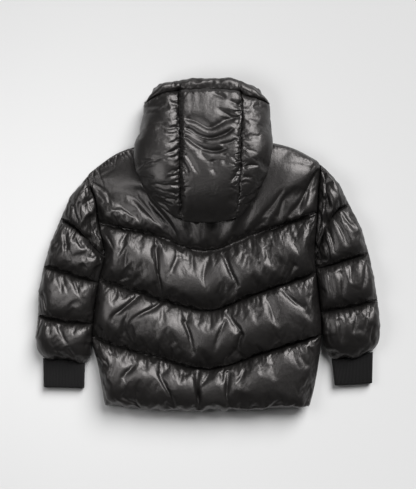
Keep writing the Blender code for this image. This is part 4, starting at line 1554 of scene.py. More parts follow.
@dataclass
class Sleeve:
    """A quilted sleeve pressed flat, from the armhole to its cuff."""

    side: Side
    cut: SleeveCut
    body: JacketCut
    columns: int = 48
    under_columns: int = 16
    rows: int = 32
    underarm: float = -18.0
    rest_gap: float = -0.9
    tuck: Pair = (1.5, 1.5)
    end_waver: float = 2.6
    end_pitch: float = 11.0
    end_reach: float = 9.0
    middle: Pair = (20.0, 9.0)
    seam: float = 6.5
    cuff_wall: float = 6.5
    loft: float = 27.0
    full_length: float = 60.0
    over_roll: float = 36.0
    under_roll: float = 17.0
    notch: float = 3.2
    notch_reach: float = 40.0
    stitch_depth: float = 3.0
    slack: Slack = Slack(below=20.0, above=12.0)
    armhole_slack: float = 26.0
    waver: Pair = (0.9, 0.7)
    calm_right: float = 0.45
    filling: Filling = Filling(gathered=(0.03, 0.02), spare=0.13, farthest=4.0, window=9)
    puckers: Puckers = Puckers(pitch=8.0, depth=(1.0, 3.2), reach=(8, 34), width=(2.0, 3.8))
    fine: tuple[Puckers, Puckers] = (
        Puckers(pitch=4.2, depth=(0.5, 1.6), reach=(8, 40), width=(1.0, 2.2), slant=0.3),
        Puckers(pitch=5.4, depth=(0.3, 1.1), reach=(6, 26), width=(1.0, 2.0), slant=0.3),
    )
    lines: list[Curve] = field(default_factory=list)

    def grid(self) -> BayGrid:
        """Points over the upper layer, from the outer edge to the inner one.

        Returns:
            The grid.
        """
        armhole = self.body.armhole(self.side)
        top = self.cut.outer[0][0] + self.tuck[1]
        outer = side_line([(top, float(armhole(top)) - self.side.value * self.tuck[0]), *self.cut.outer[1:]])
        ends = self.cut.end[::-1]

        def inner(y: Array) -> Array:
            """x of the inner edge at heights y.

            Args:
                y: The heights.

            Returns:
                x at each height.
            """
            beside = armhole(y) + self.side.value * self.rest_gap * ease((self.underarm - y) / 12)
            beside = beside - self.side.value * self.tuck[0] * ease((y - top + 30) / 30)
            free = np.interp(y, [end[0] for end in ends], [end[1] for end in ends])
            return np.where(np.asarray(y) < self.cut.end[0][0], free, beside)

        self.lines = [stretch(inner, top, self.underarm)]
        for outer_y, mid_x, mid_y, inner_y in self.cut.rings:
            knots = (float(outer(outer_y)), outer_y), (mid_x, mid_y), (float(inner(inner_y)), inner_y)
            self.lines.append(smooth_line(knots))
        outer_stops = [top, *(ring[0] for ring in self.cut.rings)]
        inner_stops = [self.underarm, *(ring[3] for ring in self.cut.rings)]
        outer_parts = [stretch(outer, *pair) for pair in zip(outer_stops, outer_stops[1:])]
        inner_parts = [stretch(inner, *pair) for pair in zip(inner_stops, inner_stops[1:])]
        return bay_grid(self.lines, outer_parts, inner_parts, crowded(self.columns, 0.5), self.rows)

    def rise(self, grid: BayGrid, rng: Random) -> Array:
        """Height of the upper layer over the middle of the tube.

        Args:
            grid: The points.
            rng: The source of the pleats' sizes.

        Returns:
            A height for each point.
        """
        share = grid.share[:, None]
        last = len(self.cut.rings) - 1
        at_cuff = ease(np.where(grid.bay == last, grid.share, 0.0))
        foot = (self.seam + (self.cuff_wall - self.seam) * at_cuff)[:, None]
        wall = foot + self.loft * bulge(share) * np.minimum(1.0, grid.length / self.full_length)
        along = grid.across[None] * grid.width
        for bay in range(last + 1):
            rows = grid.bay == bay
            away, reach = share[rows] * grid.length[rows], float(grid.width[rows].max())
            if bay > 0:
                wall[rows] -= self.puckers.drawn(along[rows], away, reach, rng)
            wall[rows] -= 0.8 * self.puckers.drawn(along[rows], grid.length[rows] - away, reach, rng)
        wall -= creased(self.cut.creases, grid.x, grid.y) * np.maximum(bulge(share), 0.3)
        wall = np.maximum(wall, foot * 0.6)
        wall[grid.seam_rows & (grid.bay + grid.share > 0)] -= self.stitch_depth
        return wall * roll(grid.from_side, self.over_roll)

    def build(self, finish: Finish) -> None:
        """Blow up the upper layer over a lower one that lies flat.

        Args:
            finish: Its material.
        """
        grid = self.grid()
        rng = np.random.default_rng(SEED + 11 + self.side.value)
        last = len(self.cut.rings) - 1
        narrow = ease(np.where(grid.bay == last, (grid.share - 0.1) / 0.95, 0.0))
        middle = (self.middle[0] + (self.middle[1] - self.middle[0]) * narrow)[:, None]
        under = np.linspace(1, 0, self.under_columns + 2)[1:-1]
        low = np.stack([
            np.stack([np.interp(under, grid.across, row[:, axis]) for row in grid.xy]) for axis in (0, 1)
        ], axis=-1)
        flat = middle * (1 - roll(np.minimum(under, 1 - under)[None] * grid.width, self.under_roll))
        upper = np.dstack([grid.xy, middle + self.rise(grid, rng)])
        inside = ease(grid.from_side / 10)
        for axis, amount in enumerate(self.waver, start=1):
            upper[..., axis] += waver(grid, amount, rng) * inside
        from_end = np.where(grid.bay == last, 1 - grid.share, FAR)[:, None] * grid.length
        lumps = self.end_waver * wander(grid.across * float(grid.width[-1]), self.end_pitch, rng)
        upper[..., 1] -= (lumps + 1.0) * np.exp(-((from_end / self.end_reach) ** 2)) * inside
        dent = self.notch * (1 - bulge(grid.share, 0.7)) * ((grid.share > 0) | (grid.bay > 0))
        fade = ease(1 - grid.across[None] * grid.width / self.notch_reach)
        upper[..., 0] -= self.side.value * dent[:, None] * fade
        loops = np.concatenate([upper, np.dstack([low, flat])], axis=1)
        rows, around = loops.shape[:2]
        index = np.arange(rows * around).reshape(rows, around)
        faces = [*grid_faces(rows, around, closed=True), index[0], index[-1]]
        piece = mesh_piece(f"sleeve_{self.side.word}_quilting", loops, faces)
        face_outwards(piece)
        held = np.zeros((rows, around))
        held[grid.seam_rows] = held[:, self.columns - 1:] = held[:, 0] = 1.0
        slack = np.zeros((rows, around))
        slack[:, : self.columns] = self.slack.share(grid, rng)
        beside = 0.6 * ease(1.3 - (1 - grid.across) * grid.width / self.armhole_slack)
        beside = beside * (grid.bay < 2)[:, None]
        calm = 1 - self.calm_right * (self.side is Side.RIGHT)
        slack[:, : self.columns] = calm * np.maximum(slack[:, : self.columns], beside)
        shape, seed = (rows, around), SEED + 5 + self.side.value
        self.filling.inflate(piece, held.ravel(), shape, seed, slack=slack.ravel())
        seams = np.zeros((rows, around, 3))
        seams[:, : self.columns] = beside_seams(grid)
        pucker_finely(piece, seams, self.fine, 2 * last + 2, rng)
        dress(piece, finish)
        register(piece, Slot.NYLON, f"sleeve_{self.side.word}")


@dataclass
class Cuff:
    """A rib-knit cuff, a tube of knit pressed flat, sewn to the end of its sleeve."""

    side: Side
    seam: Curve
    ends: tuple[Pair, Pair]
    ribs: int = 28
    points_a_rib: int = 4
    rows: int = 12
    middle: float = 9.0
    wall: float = 7.5
    rib_height: float = 1.1
    side_roll: float = 0.07
    knit: float = 3.2
    gap: float = 0.5
    width_inside: float = 82.0

    def spots(self, share: Array, down: Array) -> Array:
        """x and y at shares of the width and of the way to the mouth.

        Args:
            share: Shares of the width.
            down: Shares of the way to the mouth.

        Returns:
            Rows of points.
        """
        start = self.seam(0.02 + 0.96 * share) - np.array([0, self.gap])
        outer, inner = (np.array(end, float) for end in self.ends)
        end = outer + (inner - outer) * share[:, None]
        return start[None] + (end - start)[None] * down[:, None, None]

    def loops(self, down: Array, inset: float, ribbed: bool) -> Array:
        """Loops of the knit's face at shares of the way to the mouth.

        Args:
            down: The shares.
            inset: How far the face lies inside the outer one.
            ribbed: Whether it has ribs.

        Returns:
            Points as loops, places round the loop and coordinates.
        """
        count = self.ribs * self.points_a_rib
        over = np.linspace(0, 1, count + 1)
        share = np.concatenate([over, over[-2:0:-1]])
        upper = np.arange(len(share)) <= count
        edge = roll(np.minimum(share, 1 - share), self.side_roll)
        rib = (0.5 - 0.5 * np.cos(2 * np.pi * self.ribs * share)) ** 0.7 * self.rib_height * ribbed
        waist = (0.86 + 0.14 * ease(np.minimum(down, 1 - down) / 0.12))[:, None]
        tall = np.where(upper, self.wall, self.middle - self.rib_height) - inset
        height = self.middle + np.where(upper, 1, -1) * (tall * waist + rib) * edge
        inner = inset / self.width_inside
        xy = self.spots(inner + (1 - 2 * inner) * share, down)
        return np.dstack([xy, height])

    def build(self, finish: Finish) -> None:
        """Knit the tube, with its folded mouth edge.

        Args:
            finish: Its material.
        """
        down = crowded(self.rows, 0.5)
        outside = self.loops(down, 0.0, True)
        lip = self.loops(np.array([1.0]), self.knit / 2, False) - np.array([0, 1.2, 0])
        inside = self.loops(down[::-4], self.knit, False)
        root = self.loops(np.array([0.0]), self.knit / 2, False)
        rings = np.concatenate([outside, lip, inside, root])
        count, around = rings.shape[:2]
        index = np.arange(count * around).reshape(count, around)
        last, first = index[-1], index[0]
        closing = np.stack([last, first, np.roll(first, -1), np.roll(last, -1)], axis=-1)
        faces = [*grid_faces(count, around, closed=True), *closing]
        piece = mesh_piece(f"cuff_{self.side.word}_rib", rings, faces)
        face_outwards(piece)
        dress(piece, finish, 75)
        half_way = np.array([0.5])
        mouth = self.spots(half_way, np.array([1.0]))[0, 0]
        long = float(np.linalg.norm(mouth - self.seam(half_way)[0]))
        register(piece, Slot.RIB_KNIT, f"cuff_{self.side.word}")


def rim_of(index: Array) -> Array:
    """The points round a grid's border, in order."""
    return np.concatenate([index[0], index[1:, -1], index[-1, -2::-1], index[-2:0:-1, 0]])


def shell_piece(name: str, outer: Array, inner: Array) -> Piece:
    """Make a closed wall between an outer and an inner face of as many points.

    Args:
        name: The piece's name.
        outer, inner: Its two faces, as rows and columns of points.

    Returns:
        The new piece.
    """
    rows, columns = outer.shape[:2]
    count = rows * columns
    index = np.arange(count).reshape(rows, columns)
    rim = rim_of(index)
    ahead = np.roll(rim, -1)
    border = np.stack([rim, ahead, ahead + count, rim + count], axis=-1)
    faces = np.concatenate([grid_faces(rows, columns), grid_faces(rows, columns, start=count), border])
    piece = mesh_piece(name, np.concatenate([outer.reshape(-1, 3), inner.reshape(-1, 3)]), faces)
    face_outwards(piece)
    return piece


@dataclass
class Hood:
    """A padded hood of three panels and an edge band, folded back over the back."""

    cut: HoodCut
    body: JacketCut
    over: int = 38
    below: int = 14
    rows: int = 112
    across: int = 40
    wall: float = 21.0
    floor: float = 15.0
    neck: float = 184.0
    dome: float = 80.0
    under_roll: float = 24.0
    valley: Pair = (6.5, 1.4)
    pillows: Pair = (8.0, 2.0)
    calm_right: float = 0.5
    pillow_reach: Pair = (15.0, 6.0)
    brim_valley: Pair = (10.0, 4.4)
    waver: float = 1.2
    seams_fade: Pair = (44.0, 84.0)
    seam_gap: float = 0.1
    on_back: float = 44.8
    neck_drop: Pair = (-2.0, 14.0)
    mouth_begins: float = 210.0
    mouth: float = 280.0
    face_opening: float = 0.45
    still_below: float = 68.0
    left_seam: Points = (
        (46, -52), (101, -53), (155, -55), (210, -54), (262, -57), (310, -57),
    )
    right_seam: Points = ((46, 53), (90, 59), (160, 64), (209, 64), (262, 67), (310, 64))
    stitching: Points = (
        (-129, 280), (-102, 296), (-80, 304), (-26, 307), (50, 305), (83, 295), (114, 285), (124, 280),
    )
    brim_edge: Points = (
        (-124, 293), (-116, 306), (-92, 322), (-28, 332), (48, 332), (88, 318), (112, 302), (120, 291),
    )
    brim_bands: Points = (
        (0.0, 0.78), (0.07, 0.88), (0.17, 1.04), (0.3, 1.15), (0.48, 1.18), (0.66, 1.1), (0.8, 0.94),
        (0.9, 0.72), (0.97, 0.5), (1.0, 0.3),
    )
    brim_narrowing: float = 0.95
    brim_droop: float = 6.0
    brim_bridge: float = 18.0
    brim_calm: float = 0.55
    brim_below: float = 14.0
    brim_width: float = 24.0
    side_filling: Filling = Filling(
        gathered=(0.0, 0.02), spare=0.14, pressure=2.5, bending=0.15, farthest=3.0, wrinkle=6.0
    )
    centre_filling: Filling = replace(side_filling, gathered=(0.03, 0.03))
    brim_filling: Filling = Filling(
        gathered=(0.035, 0.0), pressure=2.5, bending=0.15, farthest=2.0, wrinkle=4.0, window=5
    )
    gather_reach: float = 22.0
    seam_length: float = 260.0
    side_brim: float = 130.0
    centre_brim: float = 140.0
    brim_gather: float = 14.0
    low_slack: float = 0.3
    low_end: Pair = (125.0, 30.0)
    low_reach: float = 48.0
    seam_puckers: Puckers = Puckers(pitch=5.6, depth=(1.4, 4.4), reach=(7, 26), width=(1.7, 3.2), slant=0.4)
    brim_puckers: Puckers = Puckers(pitch=5.6, depth=(1.0, 3.2), reach=(5, 16), width=(1.6, 3.0), slant=0.35)
    fine: Puckers = Puckers(pitch=3.4, depth=(0.8, 2.4), reach=(4, 17), width=(0.8, 1.7), slant=0.45)
    creases: tuple[Crease, ...] = (
        Fold(-50, 247, 61, 248, 7, 6.5, through=((-24, 241), (6, 227), (24, 236), (38, 244))),
        Fold(-50, 229, 52, 229, 8, 3.8, through=((-34, 224), (-20, 214), (4, 207), (26, 212), (40, 219))),
        Fold(-50, 214, 38, 188, 8.5, 5, through=((-36, 205), (-20, 193), (3, 183), (22, 183))),
        Fold(-50, 221, -2, 199, 3.5, 3, through=((-34, 215), (-18, 205))),
        Fold(58, 208, 22, 196, 4, 4, through=((42, 199),)),
        *creases_of(
            (10, 298, 40, 280, 4, 4), (63, 274, 36, 281, 5, 4), (62, 244, 12, 268, 6, 4.6),
            (60, 236, 20, 252, 4, 4), (62, 258, 30, 262, 3.5, 4), (-52, 172, -32, 128, 5.5, 3.8),
            (-50, 154, -38, 122, 4.5, 3), (-44, 178, -14, 134, 4.5, 4), (-16, 186, -2, 160, 3.5, 5),
            (8, 166, 14, 132, 4.5, 6), (34, 178, 30, 150, 3, 5), (66, 158, 40, 120, 7, 4),
            (68, 152, 102, 157, 4.5, 3.6), (-58, 232, -88, 231, 4.5, 3), (-58, 219, -86, 217, 4.5, 3),
            (-58, 207, -80, 197, 4, 3), (-57, 192, -82, 176, 4.5, 3.2), (-57, 178, -76, 168, 3.5, 3),
            (-60, 98, -82, 108, 4, 3), (-60, 86, -80, 94, 3.5, 3), (58, 94, 34, 88, 4, 3.6),
            (62, 210, 88, 204, 3.5, 3), (62, 196, 84, 184, 3.5, 3), (60, 90, 80, 96, 3, 3),
            (-52, 70, -60, 58, 4, 4), (10, 44, 8, 66, 3.5, 5), (40, 50, 34, 72, 3.5, 5),
            (-26, 44, -30, 64, 3, 5),
        ),
    )

    def __post_init__(self) -> None:
        """Work out the lines that its panels share."""
        self.outline = self.cut.outline()
        self.rng = np.random.default_rng(SEED + 31)
        self.seams = {Side.LEFT: self.seam_line(self.left_seam), Side.RIGHT: self.seam_line(self.right_seam)}
        self.stitched = smooth_line(self.stitching)(np.linspace(0, 1, 160))
        self.stitched[:, 1] += self.waver * wander(self.stitched[:, 0], 8.0, self.rng)
        self.neck_edge = smooth_line(self.body.top)(np.linspace(0, 1, 160))

    def seam_line(self, edges: Sequence[Pair]) -> Curve:
        """x of a panel seam at heights y, with the waver that its gathers give it.

        Args:
            edges: Pairs of y and x, in order.

        Returns:
            The line.
        """
        line = side_line(edges)
        heights = np.arange(edges[0][0] - 20.0, edges[-1][0] + 40.0)
        shift = self.waver * wander(heights, 6.5, self.rng)
        return lambda y: line(y) + np.interp(y, heights, shift)

    def stitch_y(self, x: Array) -> Array:
        """Height of the brim's stitching at x."""
        return np.interp(x, self.stitched[:, 0], self.stitched[:, 1])

    def row_y(self, level: Array, x: Array) -> Array:
        """Height of a row at x: level rows that bend into the brim's stitching towards the mouth."""
        bend = np.maximum(level - self.mouth_begins, 0.0) / (self.mouth - self.mouth_begins)
        return level + (self.stitch_y(x) - self.mouth) * bend

    def level_at(self, x: Array, y: Array) -> Array:
        """The level row that passes through a place, the other way round from row_y."""
        bend = (self.stitch_y(x) - self.mouth) / (self.mouth - self.mouth_begins)
        return np.where(y > self.mouth_begins, (y + self.mouth_begins * bend) / (1 + bend), y)

    def seam_x(self, side: Side, level: Array) -> Array:
        """x of one panel seam on a row."""
        seam = self.seams[side]
        return seam(self.row_y(level, seam(level)))

    def top(self, x: Array, y: Array, creased_in: bool = True) -> Array:
        """Height of the upper face, with the valleys of its seams.

        Args:
            x, y: The points.
            creased_in: Whether the creases are pressed in.

        Returns:
            A height for each point.
        """
        level = self.level_at(x, y)
        widest, crown = self.cut.at("widest", level), self.cut.at("crown", level)
        deep, wide = self.valley
        start, end = self.seams_fade
        clear = 0.25 + 0.75 * ease((y - start) / (end - start))
        outwards, inwards = self.pillow_reach
        for (side, seam), pillow in zip(self.seams.items(), self.pillows):
            away = side.value * (x - seam(y))
            crown = crown - deep * clear * np.exp(-np.abs(away / wide) ** 1.4)
            crown = crown - pillow * clear * np.exp(-((away / np.where(away > 0, outwards, inwards)) ** 2))
        deep, wide = self.brim_valley
        groove = np.exp(-np.abs((y - self.stitch_y(x)) / wide) ** 1.4)
        crown = crown - deep * ease((95 - np.abs(x)) / 40 + 0.4) * groove
        if creased_in:
            crown = crown - creased(self.creases, x, y)
        return widest + np.maximum(crown - widest, 4.0) * roll(depth_inside(self.outline, x, y), self.dome)

    def bottom(self, x: Array, y: Array) -> Array:
        """Height of the lower face, on the back and then on the floor.

        Args:
            x, y: The points.

        Returns:
            A height for each point.
        """
        start, end = self.neck_drop
        past = y - np.interp(x, self.neck_edge[:, 0], self.neck_edge[:, 1])
        rest = self.on_back * (1 - np.clip((past - start) / (end - start), 0.0, 1.0))
        curl = 1 - roll(depth_inside(self.outline, x, y), self.under_roll)
        return rest + (self.cut.at("widest", self.level_at(x, y)) - rest) * curl

    def hollow(self, x: Array, y: Array) -> tuple[Array, Array]:
        """Ceiling and floor of the hollow.

        Args:
            x, y: The points.

        Returns:
            Their two heights at each point.
        """
        top, bottom = self.top(x, y, creased_in=False), self.bottom(x, y)
        room = 0.45 * (top - bottom)
        return top - np.minimum(self.wall, room), bottom + np.minimum(self.floor, room)

    def side_panel(self, side: Side, levels: Array) -> tuple[Array, Array]:
        """Outer and inner points of a side panel, from its seam round to the lower layer's end.

        Args:
            side: Which panel.
            levels: Its rows.

        Returns:
            The outer and the inner points.
        """
        level = levels[:, None]
        over = 0.995 * crowded(self.over, 0.6)
        under = np.linspace(1, 0, self.below) ** 0.7
        share = np.concatenate([over, under])[None]
        upper = (np.arange(self.over + self.below) < self.over)[None]
        edge = self.cut.at(side.word, level)
        cutaway = self.face_opening * ease((level - self.neck) / 60)
        x_seam = self.seam_x(side, level) + side.value * self.seam_gap / 2
        wall = np.minimum(self.wall, 0.45 * np.abs(edge - x_seam))
        start = np.where(upper, x_seam, x_seam + (edge - x_seam) * cutaway)
        x, x_in = start + (edge - start) * share, start + (edge - side.value * wall - start) * share
        y, y_in = self.row_y(level, x), self.row_y(level, x_in)
        ceiling, floor = self.hollow(x_in, y_in)
        middle = (ceiling + floor) / 2
        z = np.where(upper, self.top(x, y), self.bottom(x, y))
        z_in = middle + (np.where(upper, ceiling, floor) - middle) * (1 - share**4)
        return np.dstack([x, y, z]), np.dstack([x_in, y_in, z_in])

    def build_side(self, side: Side, finish: Finish) -> None:
        """Blow up a side panel.

        Args:
            side: Which panel.
            finish: Its material.
        """
        levels = self.cut.levels[0] + (self.mouth - self.cut.levels[0]) * np.linspace(0, 1, self.rows) ** 1.1
        outer, inner = self.side_panel(side, levels)
        upper = outer[:, : self.over]
        from_seam = np.abs(upper[..., 0] - upper[:, :1, 0])
        calm = self.calm_right if side is Side.RIGHT else 1.0
        along = upper[..., 1] - self.cut.levels[0]
        drawn = calm * self.seam_puckers.drawn(along, from_seam, np.ptp(levels), self.rng)
        from_brim = np.maximum(self.stitch_y(upper[..., 0]) - upper[..., 1], 0)
        drawn += self.brim_puckers.drawn(np.abs(upper[..., 0]), from_brim, self.side_brim, self.rng)
        upper[..., 2] -= drawn * ease(np.abs(upper[..., 0] - upper[:, -1:, 0]) / 20)
        held = np.zeros(outer.shape[:2])
        held[levels < self.still_below] = held[-1] = held[:, 0] = held[:, self.over + 2:] = 1.0
        self.finish_panel(f"hood_{side.word}", self.side_filling, outer, inner, held, finish, calm)

    def build_centre(self, finish: Finish) -> None:
        """Blow up the centre panel, from the mouth round its low end and back to the neck.

        Args:
            finish: Its material.
        """
        share = crowded(self.across, 0.6)
        low_left, low_right = (float(seam(self.cut.levels[0])) for seam in self.seams.values())
        edge = np.array(self.cut.low_edge, float)
        y_low = np.interp(low_left + (low_right - low_left) * share, edge[:, 0], edge[:, 1])
        reach = self.low_reach
        step = np.linspace(0, 1, 16) ** 2 * reach
        falling = np.linspace(1, 0, self.rows - 14, endpoint=False)
        rising = np.linspace(0, 1, 18)[1:]
        down = np.concatenate([falling, np.zeros(2 * len(step)), rising])
        straight = [np.full(len(rows), reach) for rows in (falling, rising)]
        from_low = np.concatenate([straight[0], step[::-1], step, straight[1]])
        upper = np.arange(len(down)) < len(falling) + len(step)
        far = np.where(upper, self.mouth, self.neck)[:, None]
        near = y_low[None] + from_low[:, None]
        level = near + (far - near) * down[:, None]
        depth = level - y_low[None]
        level_in = np.where(depth >= reach, level, y_low[None] + self.wall + depth * (1 - self.wall / reach))

        def spots(at: Array) -> tuple[Array, Array]:
            """x and y across the panel on these rows.

            Args:
                at: The rows.

            Returns:
                x and y of each point.
            """
            left, right = (self.seam_x(side, at) for side in (Side.LEFT, Side.RIGHT))
            x = left + self.seam_gap / 2 + (right - left - self.seam_gap) * share[None]
            return x, self.row_y(at, x)

        x, y = spots(level)
        x_in, y_in = spots(level_in)
        ceiling, floor = self.hollow(x_in, y_in)
        middle = (ceiling + floor) / 2
        part = roll(depth, reach / 2)
        z = np.where(upper[:, None], self.top(x, y), self.bottom(x, y))
        z_in = middle + (np.where(upper[:, None], ceiling, floor) - middle) * part
        left, right = x - x[:, :1], x[:, -1:] - x
        fade = ease(depth / 20) * upper[:, None]
        for away in (left, right):
            z -= self.seam_puckers.drawn(y - self.cut.levels[0], away, self.mouth - 50, self.rng) * fade
        from_brim = np.maximum(self.stitch_y(x) - y, 0)
        z -= self.brim_puckers.drawn(x + self.centre_brim / 2, from_brim, self.centre_brim, self.rng) * fade
        held = np.zeros(z.shape)
        held[0] = held[:, [0, -1]] = held[~upper] = held[depth[:, 0] < 3] = 1.0
        faces = np.dstack([x, y, z]), np.dstack([x_in, y_in, z_in])
        self.finish_panel("hood_centre", self.centre_filling, *faces, held, finish)

    def finish_panel(
        self, node: str, filling: Filling, outer: Array, inner: Array, held: Array, finish: Finish,
        calm: float = 1.0,
    ) -> None:
        """Close a panel into a wall, blow it up, draw up its seams and dress it.

        Args:
            node: The CAD node that the panel replaces.
            filling: How it is blown up.
            outer, inner: The wall's two faces.
            held: How firmly each point of the outer face is held.
            finish: Its material.
            calm: How much of the crumpling at its seams it keeps.
        """
        piece = shell_piece(f"{node}_panel", outer, inner)
        firm = np.concatenate([held.ravel(), np.ones(held.size)])
        x, y, _ = points_of(piece).T
        from_seam = np.min([np.abs(x - seam(y)) for seam in self.seams.values()], axis=0)
        from_brim = self.stitch_y(x) - y
        at_brim = 0.6 * ease(1.3 - from_brim / self.brim_gather)
        low, over = self.low_end
        at_low_end = self.low_slack * ease((low - y) / over)
        slack = np.maximum(ease(1.4 - from_seam / self.gather_reach), at_brim)
        slack = calm * np.maximum(slack, at_low_end)
        filling.inflate(piece, firm, outer.shape[:2], SEED + 41, slack=slack)
        subdivide_once(piece)
        x, y, _ = points_of(piece).T
        depth = np.zeros(len(x))
        for seam in self.seams.values():
            for sign in (-1, 1):
                away = sign * (x - seam(y))
                away[away < 0] = FAR
                depth += self.fine.drawn(y - self.cut.levels[0], away, self.seam_length, self.rng)
        from_brim = self.stitch_y(x) - y
        from_brim[from_brim < 0] = FAR
        depth += self.fine.drawn(x + self.seam_length / 2, from_brim, self.seam_length, self.rng)
        sink(piece, calm * depth)
        dress(piece, finish)
        register(piece, Slot.NYLON, node)

    def mouth_loop(self) -> Array:
        """Outer and inner points round the mouth: down the left panel, over the centre and down the right.

        Returns:
            The outer and the inner loop.
        """
        loops = []
        last = np.array([self.mouth])
        left, right = self.side_panel(Side.LEFT, last), self.side_panel(Side.RIGHT, last)
        share = crowded(self.across, 0.6)
        for face in (0, 1):
            a, b = left[face][0, 0], right[face][0, 0]
            x = a[0] + (b[0] - a[0]) * share
            y = self.row_y(last, x)
            z = self.top(x, y) if face == 0 else self.hollow(x, y)[0]
            centre = np.stack([x, y, z], axis=-1)
            loops.append(np.concatenate([left[face][0, :0:-1], centre, right[face][0, 1:]]))
        return np.stack(loops)

    def build_brim(self, finish: Finish) -> None:
        """Shape the edge band, gathered a little along its stitching.

        Args:
            finish: Its material.
        """
        mouth = self.mouth_loop()
        middle = mouth.mean(axis=0)
        edge = np.array(self.brim_edge, float)
        raised = ease((middle[:, 2] - 10) / 22)
        along = np.concatenate([[0.0], np.cumsum(np.linalg.norm(np.diff(mouth[0], axis=0), axis=1))])
        lumps = np.interp(along, np.linspace(0, along[-1], 46), self.rng.normal(0, 1, 46))
        bridged = []
        for points in mouth:
            from_seams = [np.abs(points[:, 0] - seam(points[:, 1])) for seam in self.seams.values()]
            clear = np.min(from_seams, axis=0) > self.brim_bridge
            bridged.append(np.interp(along, along[clear], points[clear, 2]))
        rows = [[], []]
        for band, kept in self.brim_bands:
            share = ease(np.array(band / 0.4))
            heights = [z + (bridge - z) * share for z, bridge in zip(mouth[..., 2], bridged)]
            half_way = (heights[0] + heights[1]) / 2
            for row, points, height in zip(rows, mouth, heights):
                x = points[:, 0] * (1 - (1 - self.brim_narrowing) * band)
                reach = np.interp(x, edge[:, 0], edge[:, 1]) - points[:, 1]
                reach = self.brim_below + (reach - self.brim_below) * raised
                y = points[:, 1] + (middle[:, 1] - points[:, 1]) * (1 - kept) * (1 - band)
                y = y + self.seam_gap + np.maximum(reach - self.seam_gap, 4.0) * band + 0.7 * lumps * band
                x = x + (middle[:, 0] - points[:, 0]) * (1 - kept)
                z = half_way + (height - half_way) * kept - self.brim_droop * band**2 * raised
                row.append(np.stack([x, y, z], axis=-1))
        outer, inner = (np.stack(row) for row in rows)
        away = np.repeat([[band * self.brim_width] for band, _ in self.brim_bands], len(along), axis=1)
        drawn = self.brim_puckers.drawn(np.repeat(along[None], len(away), axis=0), away, along[-1], self.rng)
        drawn *= self.brim_calm
        for seam in self.seams.values():
            drawn += 2.6 * np.exp(-np.abs((outer[..., 0] - seam(outer[..., 1])) / 3.0) ** 1.5)
        outer[..., 2] -= drawn * raised[None] * (1 - away / self.brim_width) ** 0.7
        piece = shell_piece("hood_brim_band", outer, inner)
        held = np.ones(outer.shape[:2])
        held[1:-1] = 1 - raised[None]
        firm = np.concatenate([held.ravel(), np.ones(held.size)])
        self.brim_filling.inflate(piece, firm, outer.shape[:2], SEED + 43)
        subdivide_once(piece)
        dress(piece, finish)
        register(piece, Slot.NYLON, "hood_brim")


@dataclass
class FrontZip:
    """The closed front zip: its woven tape and a moulded chain, face down between the fronts."""

    x: float = -4.0
    width: float = 9.0
    top: float = 168.0
    bottom: float = -314.0
    low: float = 1.6
    pitch: float = 3.2
    tooth: Triple = (3.4, 1.7, 2.2)

    def block(self, name: str, size: Triple, at: Triple, round_by: float) -> Piece:
        """Add a cuboid in millimetres with bevelled edges.

        Args:
            name: The piece's name.
            size, at: Its size and its middle.
            round_by: Width of the bevels.

        Returns:
            The block.
        """
        clear_selection()
        bpy.ops.mesh.primitive_cube_add(size=1.0, location=[value * MM for value in at])
        piece = bpy.context.active_object
        piece.name = piece.data.name = name
        piece.scale = [value * MM for value in size]
        bpy.ops.object.transform_apply(location=True, rotation=True, scale=True)
        bevel = piece.modifiers.new("edge", "BEVEL")
        bevel.width = round_by * MM
        bevel.segments = 2
        apply_modifiers(piece)
        return piece

    def build(self, finish: Finish) -> None:
        """Make the tape and the two rows of teeth that mesh in its middle.

        Args:
            finish: Its material.
        """
        middle = (self.top + self.bottom) / 2
        long = self.top - self.bottom
        tape = self.block("zip_woven_tape", (self.width, long, 2.2), (self.x, middle, 4.4), 0.6)
        rows = []
        for side in Side:
            start = self.bottom + 4 + (self.pitch / 2 if side is Side.RIGHT else 0)
            tooth = self.block(
                f"zip_teeth_{side.word}", self.tooth, (self.x + side.value * 1.1, start, self.low + 0.9), 0.4
            )
            array = tooth.modifiers.new("chain", "ARRAY")
            array.use_relative_offset = False
            array.use_constant_offset = True
            array.constant_offset_displace = (0, self.pitch * MM, 0)
            array.count = int((long - 10) / self.pitch)
            apply_modifiers(tooth)
            rows.append(tooth)
        for piece in (tape, *rows):
            dress(piece, finish, 40)
        register(tape, Slot.ZIP_TAPE, "zip")
        for row in rows:
            register(row, Slot.ZIP_TAPE)


@dataclass(frozen=True)
class SoftLight:
    """A large soft light, as wide as it looks from the jacket, in degrees."""

    name: str
    from_zenith: float
    azimuth: float
    width: float
    strength: float

    def towards(self) -> Vector:
        """The direction from the jacket to the light."""
        tilt, turn = math.radians(self.from_zenith), math.radians(self.azimuth)
        return Vector((math.sin(tilt) * math.sin(turn), math.sin(tilt) * math.cos(turn), math.cos(tilt)))

    def lamp(self) -> bpy.types.Light:
        """The lamp itself, whose light is the same all over.

        Returns:
            The lamp.
        """
        lamp = bpy.data.lights.new(self.name, "SUN")
        lamp.energy, lamp.angle = self.strength, math.radians(self.width)
        return lamp

    def hang(self, away: float = 1.0) -> None:
        """Hang the lamp, facing the jacket.

        Args:
            away: Its distance from the jacket, in metres.
        """
        piece = bpy.data.objects.new(self.name, self.lamp())
        piece.location = self.towards() * away
        piece.rotation_euler = self.towards().to_track_quat("Z", "Y").to_euler()
        bpy.context.scene.collection.objects.link(piece)


@dataclass(frozen=True)
class NearLight(SoftLight):
    """A round soft light close by, so that it lights its own side of the jacket more."""

    across: float = 0.6

    def lamp(self) -> bpy.types.Light:
        """The lamp itself, a round soft box.

        Returns:
            The lamp.
        """
        lamp = bpy.data.lights.new(self.name, "AREA")
        lamp.shape, lamp.size, lamp.energy = "DISK", self.across, self.strength
        return lamp

    def hang(self, away: float = 0.9) -> None:
        """Hang the lamp close to the jacket."""
        super().hang(away)


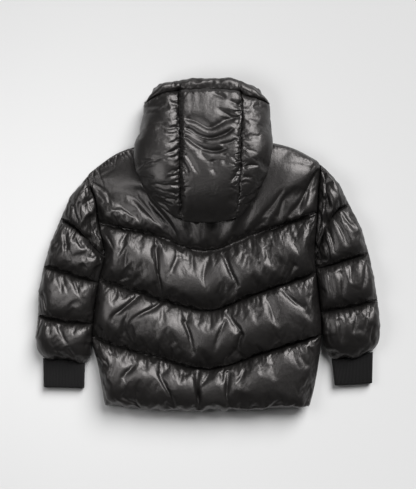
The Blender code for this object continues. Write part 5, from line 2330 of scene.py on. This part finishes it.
@dataclass
class Studio:
    """Plain floor, soft light and a camera straight above."""

    width: float = 0.978
    distance: float = 2.8
    target: Triple = (0.0, 0.001, 0.03)
    surround: float = 0.06
    lights: tuple[SoftLight, ...] = (SoftLight("key", 48, 30, 38, 4.8), NearLight("near", 30, -90, 40, 3.5))

    def build(self) -> None:
        """Set up floor, light and camera."""
        clear_selection()
        bpy.ops.mesh.primitive_plane_add(size=12.0, location=(0, 0, -0.0003))
        floor = bpy.context.active_object
        floor.name = "studio_floor"
        bpy.ops.object.transform_apply(location=True, rotation=True, scale=True)
        floor.data.materials.append(StudioFloor().make())
        world = bpy.data.worlds.new("studio")
        bpy.context.scene.world = world
        world.use_nodes = True
        background = world.node_tree.nodes["Background"]
        background.inputs["Color"].default_value = (1.0, 1.0, 1.0, 1.0)
        background.inputs["Strength"].default_value = self.surround
        for light in self.lights:
            light.hang()
        self.place_camera()

    def place_camera(self) -> None:
        """Look straight down on the jacket."""
        camera = bpy.data.cameras.new("camera")
        camera.sensor_fit = "AUTO"
        camera.sensor_width = 36.0
        camera.lens = 36.0 * self.distance / self.width
        camera.clip_end = 20.0
        eye = bpy.data.objects.new("camera", camera)
        eye.location = (self.target[0], self.target[1], self.target[2] + self.distance)
        bpy.context.scene.collection.objects.link(eye)
        bpy.context.scene.camera = eye
        bpy.context.scene.view_settings.view_transform = "Standard"


def main() -> None:
    """Build the jacket piece by piece."""
    logging.basicConfig(level=logging.INFO, format="%(name)s: %(message)s")
    Studio().build()
    nylon, knit, tape = PaddedNylon().make(), RibKnit().make(), ZipTape().make()
    body, hood_cut = JacketCut(), HoodCut()
    Back(body, hood_cut).build(nylon)
    for side in Side:
        Front(side, body).build(nylon)
        sleeve = Sleeve(side, SLEEVE_CUTS[side], body)
        sleeve.build(nylon)
        Cuff(side, sleeve.lines[-1], SLEEVE_CUTS[side].cuff_end).build(knit)
    hood = Hood(hood_cut, body)
    for side in Side:
        hood.build_side(side, nylon)
    hood.build_centre(nylon)
    hood.build_brim(nylon)
    FrontZip().build(tape)


if __name__ == "__main__":
    main()
